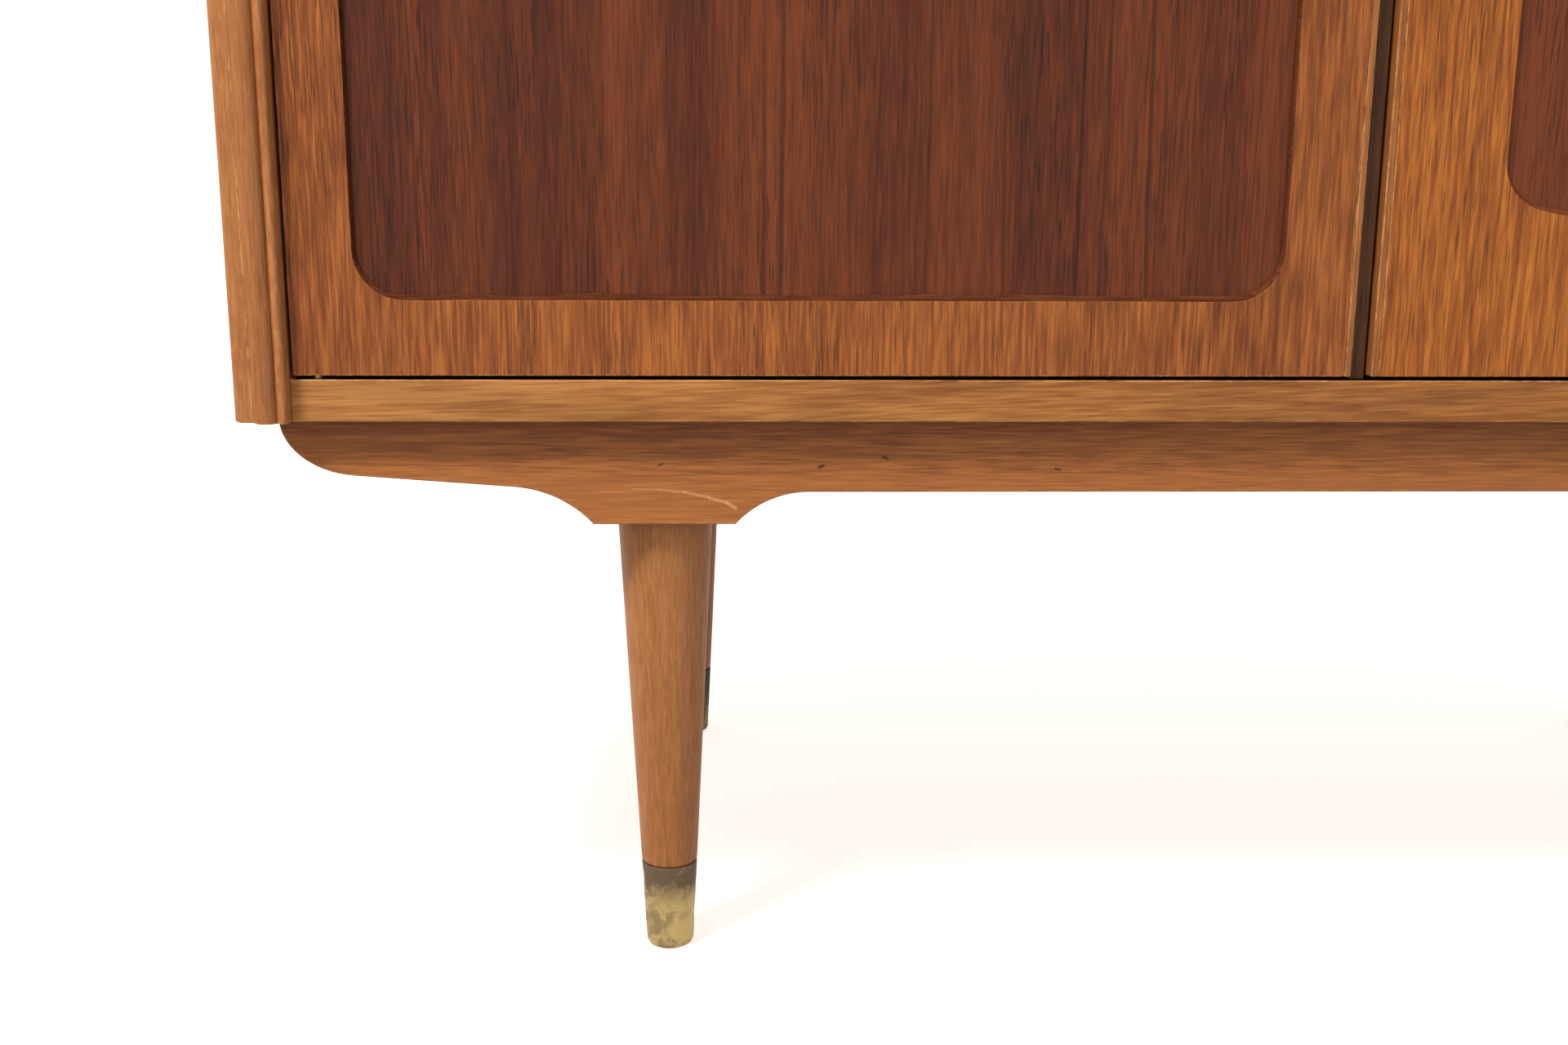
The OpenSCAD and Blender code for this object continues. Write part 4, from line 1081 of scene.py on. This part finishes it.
cloth_low, cloth_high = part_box("speaker_cloth")
cloth_w = cloth_high.x - cloth_low.x
bm = bmesh.new()
grid = []
for j in range(CLOTH_CELLS + 1):
    row = []
    for i in range(CLOTH_CELLS + 1):
        x, z = cloth_low.x + cloth_w * i / CLOTH_CELLS, cloth_low.z + cloth_w * j / CLOTH_CELLS
        reach = math.dist((x, z), (speaker_x, speaker_z)) / cone_r
        sag = CLOTH_SAG * max(0.0, 1 - reach ** 2) + CLOTH_RIPPLE * ridge(x + 0.3 * z, 4.0)
        row.append(bm.verts.new((x, cloth_low.y + 0.4 * MM + sag, z)))
    grid.append(row)
for a, b in zip(grid, grid[1:]):
    for i in range(CLOTH_CELLS):
        bm.faces.new((a[i], a[i + 1], b[i + 1], b[i]))
cloth = finish("speaker_cloth_woven", bm, CLOTH, "speaker_cloth", "speaker_cloth")

cloth_x, _, cloth_z = middle((cloth_low, cloth_high))
# The trim's section: mm in from the cloth's edge, share of its height; its back lies behind the cloth
rings = []
for inset, rise in ((-1.5, None), (-1.5, 0.5), (-0.75, 0.85), (0.6, 1), (2.2, 0.8), (4, 0.2), (4, None)):
    y = cloth_low.y + 0.3 * MM if rise is None else cloth_low.y - rise * TRIM_H
    side = cloth_w - 2 * inset * MM
    outline = rounded(side, side, 5 * MM - 0.6 * inset * MM, 8)
    rings.append([(u + cloth_x, y, v + cloth_z) for u, v in outline])
bm = bmesh.new()
skin(bm, rings, closed=True)
finish("speaker_trim", bm, TRIM, "aged_brass", flat=40)

# ---- valves

VALVE_R, VALVE_PITCH, VALVE_COUNT, PIN_L = 11 * MM, 48 * MM, 6, 8 * MM

valve_low, valve_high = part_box("valves")
foot, top = valve_low.z + PIN_L, valve_high.z
shoulder, plate_top = top - 15 * MM, foot + 0.62 * (top - foot)
dome = [(VALVE_R * cos(a), shoulder + 0.85 * VALVE_R * sin(a)) for a in np.linspace(0, 1.35, 9)]
bulb = at(foot, (0, 4), (10.5, 4), (11, 7)) + dome + at(top, (1.8, -4), (0.6, -0.4), (0, 0))
getter = at(shoulder, (0, 3), (8, 3), (7, 5.6), (0, 8))
socket = at(valve_low.z, (0, 0), (9, 0)) + at(foot, (9, 0), (11, 0), (11, 3), (10, 4), (0, 4))
bulbs, getters, plates, sockets = (bmesh.new() for _ in range(4))
for i in range(VALVE_COUNT):
    centre = (valve_low.x + VALVE_R + i * VALVE_PITCH, middle((valve_low, valve_high))[Y], 0.0)
    lathe(bulbs, bulb, centre, steps=40)
    lathe(getters, getter, centre, steps=32)
    rod(plates, 6.5 * MM, foot + 14 * MM, plate_top, centre, Z, 6)
    lathe(sockets, socket, centre, steps=40)
finish("valve_bulbs", bulbs, VALVE, "valve_glass", "valves", flat=60)
finish("valve_getters", getters, GETTER, "zinc_steel", flat=60)
finish("valve_plates", plates, GREY_METAL, "grey_metal")
finish("valve_sockets", sockets, BLACK_PLASTIC, "black_plastic", flat=40)

# ---- slotted screws

SLOT_HALF, SLOT_DEEP, SCREW_EASE, SLOT_TURN = 0.45 * MM, 0.7 * MM, 0.12 * MM, 37.0


def loose_boxes(node):
    """The lowest and highest corners of each separate solid of a CAD node, in order of place."""
    bm = bmesh.new()
    bm.from_mesh(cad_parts[node].data)
    bmesh.ops.remove_doubles(bm, verts=bm.verts, dist=SAME_POINT)
    left, boxes = set(bm.verts), []
    while left:
        island, edge = set(), [left.pop()]
        while edge:
            vert = edge.pop()
            island.add(vert)
            for link in vert.link_edges:
                other = link.other_vert(vert)
                if other in left:
                    left.discard(other)
                    edge.append(other)
        boxes.append(tuple(Vector(pick(v.co[i] for v in island) for i in (X, Y, Z)) for pick in (min, max)))
    bm.free()
    return sorted(boxes, key=lambda box: (round(box[0].x, 4), round(box[0].z, 4)))


def back_screws(node):
    """A tapered shank under a countersunk head whose flat end is cut by a slot, each at its own turn."""
    bm = bmesh.new()
    for k, (low, high) in enumerate(loose_boxes(node)):
        x, _, z = middle((low, high))
        r = (high.x - low.x) / 2
        floor_y = high.y - SLOT_DEEP
        shank = [(0.0, low.y), (0.3 * r, low.y + 0.35 * r), (0.45 * r, low.y + r)]
        shank += [(0.45 * r, floor_y - 0.5 * r), (r - SLOT_DEEP, floor_y), (0.0, floor_y)]
        lathe(bm, shank, (x, 0.0, z), Y, 32)
        start = math.degrees(math.asin(SLOT_HALF / r))
        turn = radians(SLOT_TURN * k)
        for half in (0, 180):
            outline = arc(0.0, 0.0, r, start + half, 180 - start + half, 14)
            outline = [(u * cos(turn) - v * sin(turn), u * sin(turn) + v * cos(turn)) for u, v in outline]
            prism(bm, outline, lambda u, v, w: (x + u, w, z + v), floor_y - 0.05 * MM, high.y, SCREW_EASE)
    finish(node + "_slotted", bm, SCREW, "screw_steel", node, flat=40)


back_screws("back_screws")

# ---- CAD nodes that keep their shape

# Nodes, material, whether their edges are worn, and the edges' width in mm
DRESSED = (
    (("left_side_panel", "right_side_panel"), SIDE, True, 0.6),
    (("top_panel",), TOP, True, 0.5),
    (("bottom_panel", "shelf", "cross_rails", "leg_blocks"), INNER, False, 0.5),
    (("centre_partition",), INNER_UP, False, 0.4),
    (("top_front_rail", "bottom_front_rail"), RAIL, True, 0.7),
    # meeting_strip takes the darkened wood: painted shade in the gap between the doors.
    (("meeting_strip",), SHADED_STRIP, False, 0.2),
    (("left_door_lipping", "right_door_lipping"), LIPPING, True, 0.6),
    (("left_back_panel", "rear_cover"), BOARD, False, 0.4),
    (("base_screws",), SCREW, False, 0.0),
    (("shelf_pins", "hinge_plates", "left_door_fittings", "right_door_fittings"), BRASS, False, 0.25),
    (("door_catches", "tube_strap"), ZINC, False, 0.3),
    (("screen_baffle",), DARK, False, 0.4),
    (("safety_glass",), PANE, False, 0.0),
    (("deflection_coil",), COIL, False, 0.8),
    (("loudspeaker_frame", "loudspeaker_magnet"), GREY_METAL, False, 0.4),
    (("chassis_tray", "tuner_box", "control_pots"), CHASSIS, False, 0.3),
    (("mains_transformer",), BLACK_METAL, False, 0.6),
    (("aerial_socket", "mains_inlet"), BLACK_PLASTIC, False, 0.3),
)
for nodes, material, worn, ease in DRESSED:
    edge = worn_edge(material) if worn else None
    for node in nodes:
        dress(node, material, ease * MM, edge)

# ---- floor, world and light

FLOOR_HALF, FLOOR_COLOUR, FLOOR_GLOW = 300.0, (0.42, 0.40, 0.38, 1.0), 0.80
# The warm tint that the floor takes near the object is painted shadow on the floor.
WHITE, FLOOR_SHADOW_TINT, DIM = (1.0, 1.0, 1.0, 1.0), (1.0, 0.925, 0.86, 1.0), (0.34, 0.32, 0.30, 1.0)
SHADOW_TINT_TO, WHITE_FROM = 0.9, 3.0
DIM_TO, BRIGHT_FROM, WORLD_POWER = -0.3, -0.02, 1.05
KEY_TO, KEY_FROM, KEY_AWAY = Vector((-0.2, -0.2, 0.3)), Vector((-0.52, -0.49, 1.0)), 3.2
KEY_SIZE, KEY_WATTS, KEY_COLOUR = 0.6, 120.0, (1.0, 0.97, 0.93)


def make_floor():
    """A wide pale floor that glows a little, white far from the object; near it the glow is warmer and
    dimmer, painted shadow round the object.
    """
    half = FLOOR_HALF
    corners = ((-half, -half, 0), (half, -half, 0), (half, half, 0), (-half, half, 0))
    bm = bmesh.new()
    bm.faces.new([bm.verts.new(p) for p in corners])
    mesh = as_mesh("floor", bm, clean=False)
    s = Shader("floor")
    far = s.span(s.vector("LENGTH", s.place, output=1), SHADOW_TINT_TO, WHITE_FROM)
    s.set(Base_Color=FLOOR_COLOUR, Roughness=0.9)
    # Painted shadow: near the object the glow is warmer and dimmer.
    s.set(Emission_Color=s.mix(far, FLOOR_SHADOW_TINT, WHITE), Emission_Strength=FLOOR_GLOW)
    mesh.materials.append(s.material)
    floor = add_object("floor", mesh)
    floor.visible_diffuse = False


def make_world():
    """White above and dimmer below, so that the fronts are lit softly from above."""
    world = bpy.data.worlds.new("studio")
    bpy.context.scene.world = world
    world.use_nodes = True
    nodes, links = world.node_tree.nodes, world.node_tree.links
    place, split = nodes.new("ShaderNodeTexCoord"), nodes.new("ShaderNodeSeparateXYZ")
    height, ramp = nodes.new("ShaderNodeMapRange"), nodes.new("ShaderNodeValToRGB")
    height.inputs["From Min"].default_value, height.inputs["From Max"].default_value = DIM_TO, BRIGHT_FROM
    ramp.color_ramp.elements[0].color, ramp.color_ramp.elements[1].color = DIM, WHITE
    links.new(place.outputs["Generated"], split.inputs[0])
    links.new(split.outputs[Z], height.inputs["Value"])
    links.new(height.outputs[0], ramp.inputs[0])
    links.new(ramp.outputs[0], nodes["Background"].inputs["Color"])
    nodes["Background"].inputs["Strength"].default_value = WORLD_POWER


def make_light():
    """A soft square light high up in front and to the left."""
    data = bpy.data.lights.new("key", "AREA")
    data.shape, data.size, data.energy, data.color = "SQUARE", KEY_SIZE, KEY_WATTS, KEY_COLOUR
    light = add_object("key", data)
    light.location = KEY_TO + KEY_FROM.normalized() * KEY_AWAY
    light.rotation_mode = "QUATERNION"
    light.rotation_quaternion = (-KEY_FROM).to_track_quat("-Z", "Y")


make_floor()
make_world()
make_light()

bpy.context.view_layer.update()
